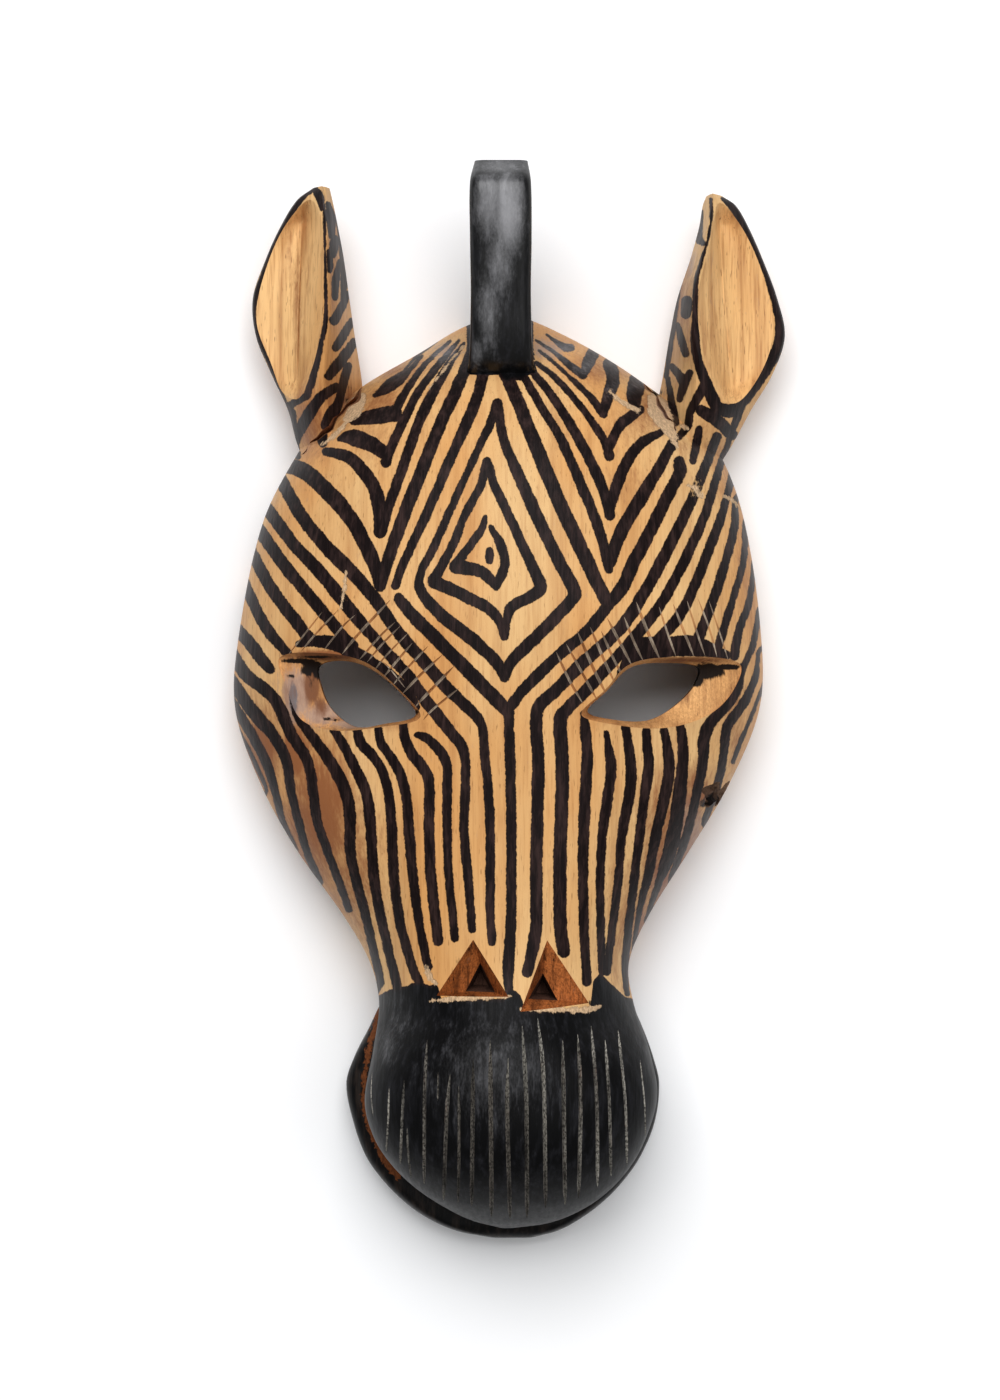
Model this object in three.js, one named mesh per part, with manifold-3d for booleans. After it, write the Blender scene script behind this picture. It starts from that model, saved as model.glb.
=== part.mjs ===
// A carved and painted wooden zebra mask, in millimetres.
// It lies on its flat back with its face up: +Z rises out of the face, +Y runs from the chin to the mane,
// and +X is the viewer's right. Head, ears, mane and jaw are one block of wood, so the group holds one mesh.
import * as THREE from "three";
import { mergeVertices } from "three/addons/utils/BufferGeometryUtils.js";
import Module from "manifold-3d";

const wasm = await Module();
wasm.setup();

// Driving dimensions. A profile's rows are [distance along the mask, size there], from the mane end down.
const MIDLINE_X = -0.65; // where the face's midline lies, so that the overall width is centred
const START_Y = -0.95; // where the profiles' zero lies, so that the overall length is centred
const HEAD_TOP_Y = 123.5; // top edge of the head, behind the mane
const LIP_END_Y = -159; // front of the upper lip
const LEFT_EDGE = [
  [123.5, 3], [119, 14.5], [111, 27.5], [101, 44.5], [91, 56.5], [80, 65], [58, 76], [21, 83.8], [0, 84.4],
  [-23, 76.5], [-43, 65.5], [-64, 50.5], [-78, 42.4], [-90, 39.4], [-104, 41], [-119, 43.4], [-130, 40.6],
  [-138, 35.6], [-145, 28.8], [-151, 20.6], [-156.2, 11.4], [-159, 2.5],
];
const RIGHT_EDGE = [
  [123.5, 3], [119, 13.5], [111, 28.5], [101, 43.5], [91, 56], [80, 66], [58, 74], [21, 79.2], [0, 78.4],
  [-23, 69], [-43, 57], [-64, 43.8], [-78, 37.8], [-90, 39], [-104, 43.6], [-117, 45.8], [-130, 42.4],
  [-140, 37], [-148, 29.6], [-154.2, 20.6], [-157.8, 11.4], [-159, 2.5],
];
const CROWN = [
  [123.5, 16], [121, 21], [114, 36], [102, 55], [84, 66], [63, 72], [33, 76], [3, 75], [-27, 72], [-57, 70],
  [-78, 70], [-90, 72.5], [-102, 77], [-117, 78.5], [-135, 74.5], [-148, 62], [-155.8, 46], [-159, 34],
];
const WIDEST_Z = [
  [123.5, 12], [80, 14], [-60, 15], [-80, 21], [-100, 38], [-120, 45], [-148, 40], [-159, 31],
];
// Share of the half width that the side walls draw in by towards the back
const UNDERCUT = [[123.5, 0.06], [-70, 0.05], [-110, 0.3], [-159, 0.3]];
const ARCH_POWER = 2.2; // 2 is an ellipse, more is squarer

// Broad swells (+) and hollows (-) of the face, each on both sides: side, along, spread x, spread y, rise
const FACE_RELIEF = {
  brow: [46, 27, 24, 9, 1.6],
  socket: [50, -6, 22, 15, -4],
  cheekHollow: [37, -50, 9, 26, -2],
  muzzleNeck: [33, -94, 13, 8, -3],
};

const RIM_WIDTH = 12; // flat rim round the hollow back
const WALL = 13.5; // wood left over the hollow
const HOLLOW_TOP_Y = 97;
const HOLLOW_LOW_Y = -79;
const HOLLOW_END = 34; // length over which the hollow's ends slope up to the back
const HOLLOW_EDGE_Z = 6; // depth of the hollow at its very ends
const HOLLOW_END_WIDTH = 0.25; // and its share of the full width there

const MANE = [
  // along, left edge, right edge, front height, back height
  [92, 10, 7, 50, 20], [100, 12.6, 9.4, 57, 16], [106, 11.6, 8, 59, 16], [125, 11, 7.2, 62, 21],
  [142, 11.2, 7.4, 66.5, 28], [158.6, 11.2, 7.2, 72, 37], [166, 9.8, 6.2, 63, 44],
];
const MANE_CORNER = 2.4; // rounding of the mane's long edges

const EAR_LEFT = {
  side: -1,
  // along, outer edge, inner edge, ridge
  plan: [
    [161.4, 60, 54.8, 57], [158, 64.8, 54, 56.8], [150, 70, 52.4, 55.6], [140, 74.7, 50.6, 54.8],
    [128, 78.8, 49, 54.8], [116, 77.8, 47.3, 55.4], [104, 72.9, 45.4, 57.2], [93, 67.8, 44.4, 57],
    [82, 64.8, 43, 54], [68, 58, 36, 48],
  ],
  // outline of the scooped face, and the ends of the line where it is deepest
  scoop: [
    [60.6, 157.4], [57.2, 152], [56.2, 141], [56.2, 126], [57.2, 114], [59.8, 104], [64, 95.8], [69, 98],
    [73, 107.5], [77.6, 121], [74, 138.5], [67.4, 151.5],
  ],
  flute: [[63.4, 151], [64.6, 103]],
};
const EAR_RIGHT = {
  side: 1,
  plan: [
    [159, 66, 61.6, 63.2], [156.4, 69.8, 60.6, 63], [150, 73.6, 59.6, 62], [140, 78.4, 56.9, 60],
    [128, 83.1, 53, 57.4], [116, 86.2, 50.6, 57], [104, 81.8, 48.6, 58.8], [93, 74.7, 46.4, 58],
    [82, 68.4, 44, 55], [68, 60, 36, 48],
  ],
  scoop: [
    [65.4, 156.4], [63.2, 150], [61.3, 140], [58.7, 129], [58.5, 117], [61.2, 104.8], [66, 95], [70.5, 94.6],
    [77.8, 103.2], [82.2, 116], [79.5, 134], [72, 150],
  ],
  flute: [[65.6, 150], [69, 101]],
};
const EAR_RIDGE_Z = [[162, 32], [150, 38], [128, 43], [108, 46], [94, 45.5], [82, 42], [68, 38]];
const EAR_EDGE_Z = [[162, 27], [150, 24], [128, 21], [104, 22], [88, 22], [68, 18]];
const EAR_UNDER_Z = [[162, 22], [150, 17], [128, 12], [104, 9], [88, 6], [68, 5]];
const ROOT_SWELL = 5; // how far the ear's root bulges where it leaves the head
const ROOT_TOP_Y = 108;
const ROOT_LOW_Y = 90;
const SCOOP_DEPTH = 9;
const EAR_BACK_ROUND = 4; // how far the ear's inner edge stands over its underside

// Eyes: matched points of the rim on the face and of the hole below it, round from the inner corner
const EYE_LEFT = {
  rim: [
    [-26, -1.8], [-32.6, 6.7], [-42.5, 14.6], [-55, 17.4], [-69, 16], [-67, 7.5], [-62.5, -2.5], [-53, -5.8],
    [-38, -4.8],
  ],
  hole: [
    [-27.6, -1.2], [-33, 6.3], [-43, 13.6], [-52, 15.2], [-57.2, 13.4], [-56.4, 7], [-53.2, 0.4],
    [-46, -4.8], [-37, -3.9],
  ],
};
const EYE_RIGHT = {
  rim: [
    [22.2, -1], [29.4, 6.4], [36.4, 13.8], [50, 16.2], [71.2, 14], [69.4, 7], [62.5, -0.4], [49, -5],
    [31.6, -4],
  ],
  hole: [
    [24.2, -0.2], [30, 6], [37.1, 13], [48, 14.6], [58.4, 13], [57.4, 8.4], [51.6, 2], [43, -2.8],
    [32, -2.6],
  ],
};
const LID_DEPTH = 8; // how far the rim's bevel goes down to the hole
const LID_EDGE = 0.5; // upright step at the rim

// Nostrils: apex, left and right foot of the pit, then of the deep hole in it
const NOSTRIL_LEFT = {
  pit: [[-10.2, -68.6], [-21.2, -85.6], [0.4, -85.6]],
  hole: [[-8.1, -75.8], [-12.5, -84.4], [-3.6, -84.6]],
};
const NOSTRIL_RIGHT = {
  pit: [[12, -68.8], [4, -90], [24.6, -88]],
  hole: [[10.8, -79], [6.4, -86.6], [15.2, -87.2]],
};
const PIT_DEPTH = 6;
const NOSTRIL_DEPTH = 17;

const JAW_EDGE = [
  // along, left edge, right edge
  [-84, 34, 33], [-92, 39.6, 39], [-99, 43, 42.4], [-108, 47.6, 45.6], [-116, 50, 47.4], [-128, 47.8, 46],
  [-139, 43.7, 41.4], [-146.6, 38.2, 36], [-152.4, 32.4, 30.4], [-157.6, 25.2, 23.6], [-162, 15.4, 15.6],
  [-164.1, 5, 8],
];
const JAW_THICK = 20;
const JAW_EDGE_ROUND = 5;
const JAW_BACK_ROUND = 2;
const MOUTH_GAP = 6; // height of the slit between the lips
const MOUTH_DEPTH = 17; // how far the slit goes in from the outline
const MOUTH_CORNER_Y = -92;
const MOUTH_ROUND = 0.5; // rounding at the bottom of the slit

const FLUTE_COUNT = 17; // grooves down the muzzle
const FLUTE_SPREAD = 41; // from the midline to the outermost
const FLUTE_STRAY = 0.7; // how far a groove strays from even spacing
const FLUTE_WIDTH = 1.7;
const FLUTE_DEPTH = 1.1;
const FLUTE_TAPER = 0.12; // how much closer to the midline the grooves end than they start
const FLUTE_TOP_Y = [-108, -102]; // where the outermost and the middle groove start
const FLUTE_LOW_Y = [-128, -152]; // and where they end

// Crevices between ear and head: side, along, height of the bottom
const CREVICE_LEFT = [
  [-42.4, 104, 17], [-46.5, 97, 26.5], [-51.5, 90, 33], [-57, 84, 33.5], [-63, 79.6, 27.5],
  [-66.5, 77.4, 23],
];
const CREVICE_RIGHT = [[41.4, 104, 17], [45, 97.5, 27], [49.5, 89.5, 35], [53.5, 82, 42]];
const CREVICE_SLOPE = 0.4; // half width for each millimetre of depth

// Broken spots on the cheek's edges: centre, then radii
const CHIPS = {
  rightKnot: [72, -25.5, 22, 6.5, 6.5, 18],
  leftNick: [-83, -23, 20, 6, 5, 15],
};

// Facets: steps along each form and round it
const HEAD_STEPS = 44;
const ARCH_STEPS = 26;
const WALL_STEPS = 3;
const BACK_STEPS = 2;
const HOLLOW_STEPS = 18;
const HOLLOW_ARCH_STEPS = 16;
const EAR_STEPS = 19;
const EAR_FACE_STEPS = 5;
const SCOOP_STEPS = 28;
const EYE_STEPS = 4; // for each point of its outline
const JAW_STEPS = 22;
const MOUTH_STEPS = 14;
const FLUTE_STEPS = 5;
const CORNER_STEPS = 3;
const ABOVE = 12; // how far a cutter reaches out of the wood

// Smooth curve through a profile's rows: returns the value in a column at a distance along the mask.
function profile(rows, column = 1) {
  const points = rows.map((row) => new THREE.Vector2(row[0], row[column])).sort((a, b) => a.x - b.x);
  const last = points.length - 1;
  const slope = points.map((_, i) => {
    const before = points[Math.max(i - 1, 0)];
    const after = points[Math.min(i + 1, last)];
    return (after.y - before.y) / (after.x - before.x);
  });
  return (at) => {
    const x = THREE.MathUtils.clamp(at, points[0].x, points[last].x);
    let i = 0;
    while (i < last - 1 && x > points[i + 1].x) i += 1;
    const span = points[i + 1].x - points[i].x;
    const t = (x - points[i].x) / span;
    const rise = points[i + 1].y - points[i].y;
    const bendIn = slope[i] * span - rise;
    const bendOut = rise - slope[i + 1] * span;
    return points[i].y + t * rise + t * (1 - t) * ((1 - t) * bendIn + t * bendOut);
  };
}

const leftEdge = profile(LEFT_EDGE);
const rightEdge = profile(RIGHT_EDGE);
const crown = profile(CROWN);
const widestZ = profile(WIDEST_Z);
const undercut = profile(UNDERCUT);

// Closed geometry through rings of points of equal count, with a fan over each end.
function loft(rings) {
  const count = rings[0].length;
  const positions = [];
  const corner = (i, j) => rings[i][((j % count) + count) % count];
  const put = (...points) => points.forEach((p) => positions.push(p.x, p.y, p.z));
  for (let i = 0; i < rings.length - 1; i += 1) {
    for (let j = 0; j < count; j += 1) {
      put(corner(i, j), corner(i + 1, j), corner(i + 1, j + 1));
      put(corner(i, j), corner(i + 1, j + 1), corner(i, j + 1));
    }
  }
  [0, rings.length - 1].forEach((end) => {
    const middle = rings[end].reduce((sum, p) => sum.add(p), new THREE.Vector3()).divideScalar(count);
    for (let j = 0; j < count; j += 1) {
      if (end === 0) put(middle, corner(end, j), corner(end, j + 1));
      else put(middle, corner(end, j + 1), corner(end, j));
    }
  });
  const geometry = new THREE.BufferGeometry();
  geometry.setAttribute("position", new THREE.Float32BufferAttribute(positions, 3));
  return geometry;
}

// A closed geometry as a solid, whichever way its faces were wound.
function solid(geometry) {
  const bare = geometry.clone();
  bare.deleteAttribute("normal");
  bare.deleteAttribute("uv");
  const merged = mergeVertices(bare, 1e-4);
  const vertProperties = new Float32Array(merged.attributes.position.array);
  const triVerts = new Uint32Array(merged.index.array);
  const made = new wasm.Manifold(new wasm.Mesh({ numProp: 3, vertProperties, triVerts }));
  if (made.volume() > 0) return made;
  for (let i = 0; i < triVerts.length; i += 3) {
    [triVerts[i + 1], triVerts[i + 2]] = [triVerts[i + 2], triVerts[i + 1]];
  }
  return new wasm.Manifold(new wasm.Mesh({ numProp: 3, vertProperties, triVerts }));
}

// Distances along the mask, closer together towards both ends.
function stations(from, to, count, crowding = 0.6) {
  return Array.from({ length: count + 1 }, (_, i) => {
    const even = i / count;
    const eased = (1 - Math.cos(Math.PI * even)) / 2;
    return from + (to - from) * THREE.MathUtils.lerp(even, eased, crowding);
  });
}

function relief(x, y) {
  return Object.values(FACE_RELIEF).reduce((sum, [side, along, spreadX, spreadY, rise]) => {
    const reach = ((Math.abs(x) - side) / spreadX) ** 2 + ((y - along) / spreadY) ** 2;
    return sum + rise * Math.exp(-reach);
  }, 0);
}

function halfWidth(x, y) {
  return x < 0 ? leftEdge(y) : rightEdge(y);
}

// Height of the face above the back at a place in plan.
function faceZ(x, y) {
  const share = Math.min(Math.abs(x) / halfWidth(x, y), 1);
  const low = widestZ(y);
  return low + (crown(y) - low) * (1 - share ** ARCH_POWER) ** (1 / ARCH_POWER) + relief(x, y);
}

function faceNormal(x, y) {
  const step = 0.5;
  const slopeX = (faceZ(x + step, y) - faceZ(x - step, y)) / (2 * step);
  const slopeY = (faceZ(x, y + step) - faceZ(x, y - step)) / (2 * step);
  return new THREE.Vector3(-slopeX, -slopeY, 1).normalize();
}

// Point of an arch's section: turn runs from the right edge (0) over the crown (1) to the left edge (2).
function archPoint(turn, left, right) {
  const angle = (turn * Math.PI) / 2;
  const across = Math.sign(Math.cos(angle)) * Math.abs(Math.cos(angle)) ** (2 / ARCH_POWER);
  return { x: across * (across < 0 ? left : right), rise: Math.sin(angle) ** (2 / ARCH_POWER) };
}

function headRing(y) {
  const [left, right, top, low, cut] = [leftEdge(y), rightEdge(y), crown(y), widestZ(y), undercut(y)];
  const ring = [];
  const wall = (edge, share) => edge * (1 - cut * (1 - share) ** 2);
  for (let i = 0; i < WALL_STEPS; i += 1) {
    const share = i / WALL_STEPS;
    ring.push(new THREE.Vector3(wall(right, share), y, low * share));
  }
  for (let i = 0; i <= ARCH_STEPS; i += 1) {
    const { x, rise } = archPoint((2 * i) / ARCH_STEPS, left, right);
    const swell = relief(x, y) * Math.min(rise * 3, 1);
    ring.push(new THREE.Vector3(x, y, low + (top - low) * rise + swell));
  }
  for (let i = WALL_STEPS - 1; i >= 0; i -= 1) {
    const share = i / WALL_STEPS;
    ring.push(new THREE.Vector3(-wall(left, share), y, low * share));
  }
  const first = ring[0];
  const last = ring[ring.length - 1];
  for (let i = 1; i < BACK_STEPS; i += 1) ring.push(last.clone().lerp(first, i / BACK_STEPS));
  return ring;
}

function makeHead() {
  return solid(loft(stations(HEAD_TOP_Y, LIP_END_Y, HEAD_STEPS).map(headRing)));
}

// The hollow behind the face, open at the back.
function makeHollow() {
  const round = (share) => Math.sqrt(1 - (1 - share) ** 2);
  const rings = stations(HOLLOW_TOP_Y, HOLLOW_LOW_Y, HOLLOW_STEPS, 0.9).map((y) => {
    const fromTop = THREE.MathUtils.clamp((HOLLOW_TOP_Y - y) / HOLLOW_END, 0, 1);
    const fromLow = THREE.MathUtils.clamp((y - HOLLOW_LOW_Y) / HOLLOW_END, 0, 1);
    const narrow = THREE.MathUtils.lerp(HOLLOW_END_WIDTH, 1, round(fromTop) * round(fromLow));
    const left = (leftEdge(y) - RIM_WIDTH) * narrow;
    const right = (rightEdge(y) - RIM_WIDTH) * narrow;
    const top = THREE.MathUtils.lerp(HOLLOW_EDGE_Z, crown(y) - WALL, round(fromTop) * fromLow ** 0.8);
    const ring = [new THREE.Vector3(right, y, -ABOVE)];
    for (let i = 0; i <= HOLLOW_ARCH_STEPS; i += 1) {
      const { x, rise } = archPoint((2 * i) / HOLLOW_ARCH_STEPS, left, right);
      ring.push(new THREE.Vector3(x, y, top * rise));
    }
    ring.push(new THREE.Vector3(-left, y, -ABOVE));
    return ring;
  });
  return solid(loft(rings));
}

// A block's section with rounded corners: edges left and right, low and high.
function roundedRing(y, left, right, low, high, corner, lowCorner = corner) {
  const ring = [];
  const arc = (cx, cz, from, radius) => {
    for (let i = 0; i <= CORNER_STEPS; i += 1) {
      const angle = from + (i / CORNER_STEPS) * (Math.PI / 2);
      ring.push(new THREE.Vector3(cx + radius * Math.cos(angle), y, cz + radius * Math.sin(angle)));
    }
  };
  arc(right - corner, high - corner, 0, corner);
  arc(-left + corner, high - corner, Math.PI / 2, corner);
  arc(-left + lowCorner, low + lowCorner, Math.PI, lowCorner);
  arc(right - lowCorner, low + lowCorner, (3 * Math.PI) / 2, lowCorner);
  return ring;
}

function makeMane() {
  const [left, right, front, back] = [1, 2, 3, 4].map((column) => profile(MANE, column));
  const rings = MANE.flatMap(([y], i) => {
    const next = MANE[i + 1];
    return next ? [y, (y + next[0]) / 2] : [y];
  }).map((y) => roundedRing(y, left(y), right(y), back(y), front(y), MANE_CORNER));
  return solid(loft(rings));
}

// Height of the ear's outward face at a distance out from the midline, before it is scooped.
function earZ(plan, out, y) {
  const [outer, ridge] = [1, 3].map((column) => profile(plan, column)(y));
  const share = THREE.MathUtils.clamp((out - ridge) / (outer - ridge), 0, 1);
  const swell = ROOT_SWELL * (1 - THREE.MathUtils.smoothstep(y, ROOT_LOW_Y, ROOT_TOP_Y));
  const flat = THREE.MathUtils.lerp(profile(EAR_RIDGE_Z)(y), profile(EAR_EDGE_Z)(y), share);
  return flat + swell * Math.sin(Math.PI * share);
}

function makeEar({ side, plan, scoop, flute }) {
  const [outer, inner, ridge] = [1, 2, 3].map((column) => profile(plan, column));
  const underZ = profile(EAR_UNDER_Z);
  const rings = stations(plan[0][0], plan[plan.length - 1][0], EAR_STEPS, 0.4).map((y) => {
    const [out, ins, mid, under] = [outer(y), inner(y), ridge(y), underZ(y)];
    const high = earZ(plan, mid, y);
    const edge = earZ(plan, out, y);
    const ring = [];
    const put = (x, z) => ring.push(new THREE.Vector3(side * x, y, z));
    for (let i = 0; i <= EAR_FACE_STEPS; i += 1) {
      const x = THREE.MathUtils.lerp(mid, out - 0.6, i / EAR_FACE_STEPS);
      put(x, earZ(plan, x, y));
    }
    put(out, edge - 1);
    put(out - 1.2, (edge + under) / 2);
    put(THREE.MathUtils.lerp(out, ins, 0.3), under);
    put(THREE.MathUtils.lerp(out, ins, 0.8), under);
    put(ins, under + EAR_BACK_ROUND);
    put(THREE.MathUtils.lerp(ins, mid, 0.5), THREE.MathUtils.lerp(under + EAR_BACK_ROUND, high, 0.66));
    put(THREE.MathUtils.lerp(ins, mid, 0.88), high - 1);
    return ring;
  });
  return solid(loft(rings)).subtract(makeScoop(side, plan, scoop, flute));
}

// The hollow of an ear: its outline sinks towards a line, steeply on the ridge's side, gently on the other.
function makeScoop(side, plan, outline, flute) {
  const [top, low] = flute.map(([x, y]) => new THREE.Vector3(x, y, 0));
  const line = new THREE.Line3(top, low);
  const rim = contour(outline, SCOOP_STEPS);
  const rings = [[0, -ABOVE], [0, 0], [0.45, 0.6], [0.8, 0.93], [0.97, 1]].map(([sink, depth]) =>
    rim.map((p) => {
      const nearest = line.closestPointToPoint(p, true, new THREE.Vector3());
      const at = p.clone().lerp(nearest, sink);
      return new THREE.Vector3(side * at.x, at.y, earZ(plan, at.x, at.y) - SCOOP_DEPTH * depth);
    }),
  );
  return solid(loft(rings));
}

// An even closed curve through a contour's points, in plan.
function contour(points, count) {
  const curve = new THREE.CatmullRomCurve3(
    points.map(([x, y]) => new THREE.Vector3(x, y, 0)),
    true,
    "centripetal",
  );
  return Array.from({ length: count }, (_, i) => curve.getPoint(i / count));
}

function makeEye({ rim, hole }) {
  const count = rim.length * EYE_STEPS;
  const outer = contour(rim, count);
  const inner = contour(hole, count);
  const atFace = (points, lift) => points.map((p) => new THREE.Vector3(p.x, p.y, faceZ(p.x, p.y) + lift));
  return solid(
    loft([
      atFace(outer, ABOVE),
      atFace(outer, -LID_EDGE),
      atFace(inner, -LID_DEPTH),
      inner.map((p) => new THREE.Vector3(p.x, p.y, ABOVE)),
    ]),
  );
}

// A three-cornered pit with a deep hole in it. Its edges are divided so that they follow the face.
function makeNostril({ pit, hole }) {
  const divided = (points) =>
    points.flatMap(([x, y], i) => {
      const from = new THREE.Vector2(x, y);
      const to = new THREE.Vector2(...points[(i + 1) % points.length]);
      return [0, 1, 2].map((k) => from.clone().lerp(to, k / 3));
    });
  const atFace = (points, lift) =>
    divided(points).map((p) => new THREE.Vector3(p.x, p.y, faceZ(p.x, p.y) + lift));
  const middle = [0, 1].map((axis) => (hole[0][axis] + hole[1][axis] + hole[2][axis]) / 3);
  const narrowed = hole.map((p) => p.map((value, axis) => (value + middle[axis]) / 2));
  return solid(
    loft([atFace(pit, ABOVE), atFace(pit, 0), atFace(hole, -PIT_DEPTH), atFace(narrowed, -NOSTRIL_DEPTH)]),
  );
}

function makeJaw() {
  const [left, right] = [1, 2].map((column) => profile(JAW_EDGE, column));
  const rings = stations(JAW_EDGE[0][0], JAW_EDGE[JAW_EDGE.length - 1][0], JAW_STEPS, 0.7).map((y) => {
    const corner = Math.min(JAW_EDGE_ROUND, left(y) / 2);
    return roundedRing(y, left(y), right(y), 0, JAW_THICK, corner, JAW_BACK_ROUND);
  });
  return solid(loft(rings));
}

// The slit between lip and jaw: a slab all round the muzzle, less the core that ties them together.
function makeMouth() {
  const low = JAW_THICK;
  const high = JAW_THICK + MOUTH_GAP;
  const wide = leftEdge(0);
  const slab = [MOUTH_CORNER_Y, LIP_END_Y - ABOVE].map((y) =>
    roundedRing(y, wide, wide, low, high, MOUTH_ROUND),
  );
  const core = stations(MOUTH_CORNER_Y + ABOVE, LIP_END_Y + MOUTH_DEPTH, MOUTH_STEPS, 0.8).map((y) => {
    const shore = y - MOUTH_DEPTH * 0.75;
    const reach = (edge) => Math.max(Math.min(edge(y), edge(shore)) - MOUTH_DEPTH, 3);
    return roundedRing(y, reach(leftEdge), reach(rightEdge), low - ABOVE, high + ABOVE, MOUTH_ROUND);
  });
  return solid(loft(slab)).subtract(solid(loft(core)));
}

// A V groove that follows the face under a path in plan.
function makeGroove(path, width, depth) {
  const rings = path.map(([x, y], i) => {
    const before = path[Math.max(i - 1, 0)];
    const after = path[Math.min(i + 1, path.length - 1)];
    const along = new THREE.Vector3(after[0] - before[0], after[1] - before[1], 0);
    along.z = faceZ(after[0], after[1]) - faceZ(before[0], before[1]);
    along.normalize();
    const out = faceNormal(x, y);
    const across = new THREE.Vector3().crossVectors(along, out).normalize();
    const at = new THREE.Vector3(x, y, faceZ(x, y));
    const fade = i === 0 || i === path.length - 1 ? 0.15 : 1;
    const flank = (width / 2) * (1 + 1 / depth);
    return [
      at.clone().addScaledVector(out, 1).addScaledVector(across, flank * fade),
      at.clone().addScaledVector(out, 1).addScaledVector(across, -flank * fade),
      at.clone().addScaledVector(out, -depth * fade),
    ];
  });
  return solid(loft(rings));
}

function makeFlutes() {
  return Array.from({ length: FLUTE_COUNT }, (_, i) => {
    const share = (2 * i) / (FLUTE_COUNT - 1) - 1;
    const side = FLUTE_SPREAD * share + FLUTE_STRAY * Math.sin(2.4 * i);
    const sweep = 1 - share * share;
    const top = THREE.MathUtils.lerp(...FLUTE_TOP_Y, sweep ** 0.5);
    const low = THREE.MathUtils.lerp(...FLUTE_LOW_Y, sweep ** 0.5);
    const path = Array.from({ length: FLUTE_STEPS + 1 }, (__, j) => {
      const t = j / FLUTE_STEPS;
      return [side * (1 - FLUTE_TAPER * t * t), THREE.MathUtils.lerp(top, low, t)];
    });
    return makeGroove(path, FLUTE_WIDTH, FLUTE_DEPTH);
  });
}

// An upright V cut along a path whose rows give its bottom.
function makeCrevice(path) {
  const rings = path.map(([x, y, z], i) => {
    const before = path[Math.max(i - 1, 0)];
    const after = path[Math.min(i + 1, path.length - 1)];
    const across = new THREE.Vector3(after[1] - before[1], before[0] - after[0], 0).normalize();
    const bottom = new THREE.Vector3(x, y, z);
    const lip = bottom.clone().setZ(z + 2 * ABOVE);
    const reach = 2 * ABOVE * CREVICE_SLOPE;
    return [bottom, lip.clone().addScaledVector(across, reach), lip.clone().addScaledVector(across, -reach)];
  });
  return solid(loft(rings));
}

function makeChip([x, y, z, radiusX, radiusY, radiusZ]) {
  const lump = new THREE.IcosahedronGeometry(1, 1);
  lump.scale(radiusX, radiusY, radiusZ);
  lump.translate(x, y, z);
  return solid(lump);
}

function makeMask() {
  const cuts = [
    makeHollow(),
    makeEye(EYE_LEFT),
    makeEye(EYE_RIGHT),
    makeNostril(NOSTRIL_LEFT),
    makeNostril(NOSTRIL_RIGHT),
    ...makeFlutes(),
    ...Object.values(CHIPS).map(makeChip),
  ];
  const head = makeHead().subtract(makeMouth()).add(makeJaw());
  const block = head.add(makeMane()).add(makeEar(EAR_LEFT)).add(makeEar(EAR_RIGHT));
  const carved = [CREVICE_LEFT, CREVICE_RIGHT].map(makeCrevice);
  return [...cuts, ...carved].reduce((wood, cut) => wood.subtract(cut), block);
}

function toGeometry(made) {
  const { vertProperties, triVerts, numProp } = made.getMesh();
  const position = new THREE.InterleavedBuffer(vertProperties, numProp);
  const geometry = new THREE.BufferGeometry();
  geometry.setAttribute("position", new THREE.InterleavedBufferAttribute(position, 3, 0));
  geometry.setIndex(new THREE.BufferAttribute(triVerts, 1));
  const flat = geometry.toNonIndexed();
  flat.computeVertexNormals();
  return flat;
}

const paintedWood = new THREE.MeshStandardMaterial({ color: 0xd9ab72, roughness: 0.45, metalness: 0 });
const mask = new THREE.Mesh(toGeometry(makeMask()), paintedWood);
mask.name = "zebra_mask";
mask.position.set(MIDLINE_X, START_Y, 0);

const zebraMask = new THREE.Group();
zebraMask.add(mask);
export default zebraMask;
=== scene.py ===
"""A carved and painted wooden zebra mask, dressed over its solid.

The carver's frame, in millimetres, has its zero on the face's midline at the height of the eyes: x runs to
the right of the face, y from the chin towards the mane and z out of the flat back. Objects are in metres, in
the part's own frame. Stripes and marks are named in the pixels of the photo, where a camera stands over the
mask, and are carried from there onto the face.
"""

import logging
import math
from dataclasses import dataclass, field, replace
from enum import Enum
from typing import Sequence

import bpy
import numpy as np
from bpy.types import ID, Material, Mesh, NodeSocket, Object, bpy_prop_collection
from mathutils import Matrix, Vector


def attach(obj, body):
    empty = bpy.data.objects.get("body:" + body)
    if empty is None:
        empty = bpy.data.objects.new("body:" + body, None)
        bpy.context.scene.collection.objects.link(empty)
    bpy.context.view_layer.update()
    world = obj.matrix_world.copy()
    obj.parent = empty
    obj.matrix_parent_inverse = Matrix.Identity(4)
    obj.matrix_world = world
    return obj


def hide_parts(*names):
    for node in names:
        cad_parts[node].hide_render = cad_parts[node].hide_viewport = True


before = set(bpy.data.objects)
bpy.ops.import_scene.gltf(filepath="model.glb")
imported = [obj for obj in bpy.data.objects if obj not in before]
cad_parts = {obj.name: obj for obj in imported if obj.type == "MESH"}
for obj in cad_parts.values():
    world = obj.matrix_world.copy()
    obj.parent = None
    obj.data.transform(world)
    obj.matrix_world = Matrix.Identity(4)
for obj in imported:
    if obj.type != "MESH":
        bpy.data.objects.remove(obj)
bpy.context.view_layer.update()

log = logging.getLogger("zebra_mask")

Array = np.ndarray
Rows = Sequence[Sequence[float]]
Triple = tuple[float, float, float]
Strokes = dict[str, tuple[Sequence[float], Sequence[float]]]  # widths along a stroke; x, y of its points

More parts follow.
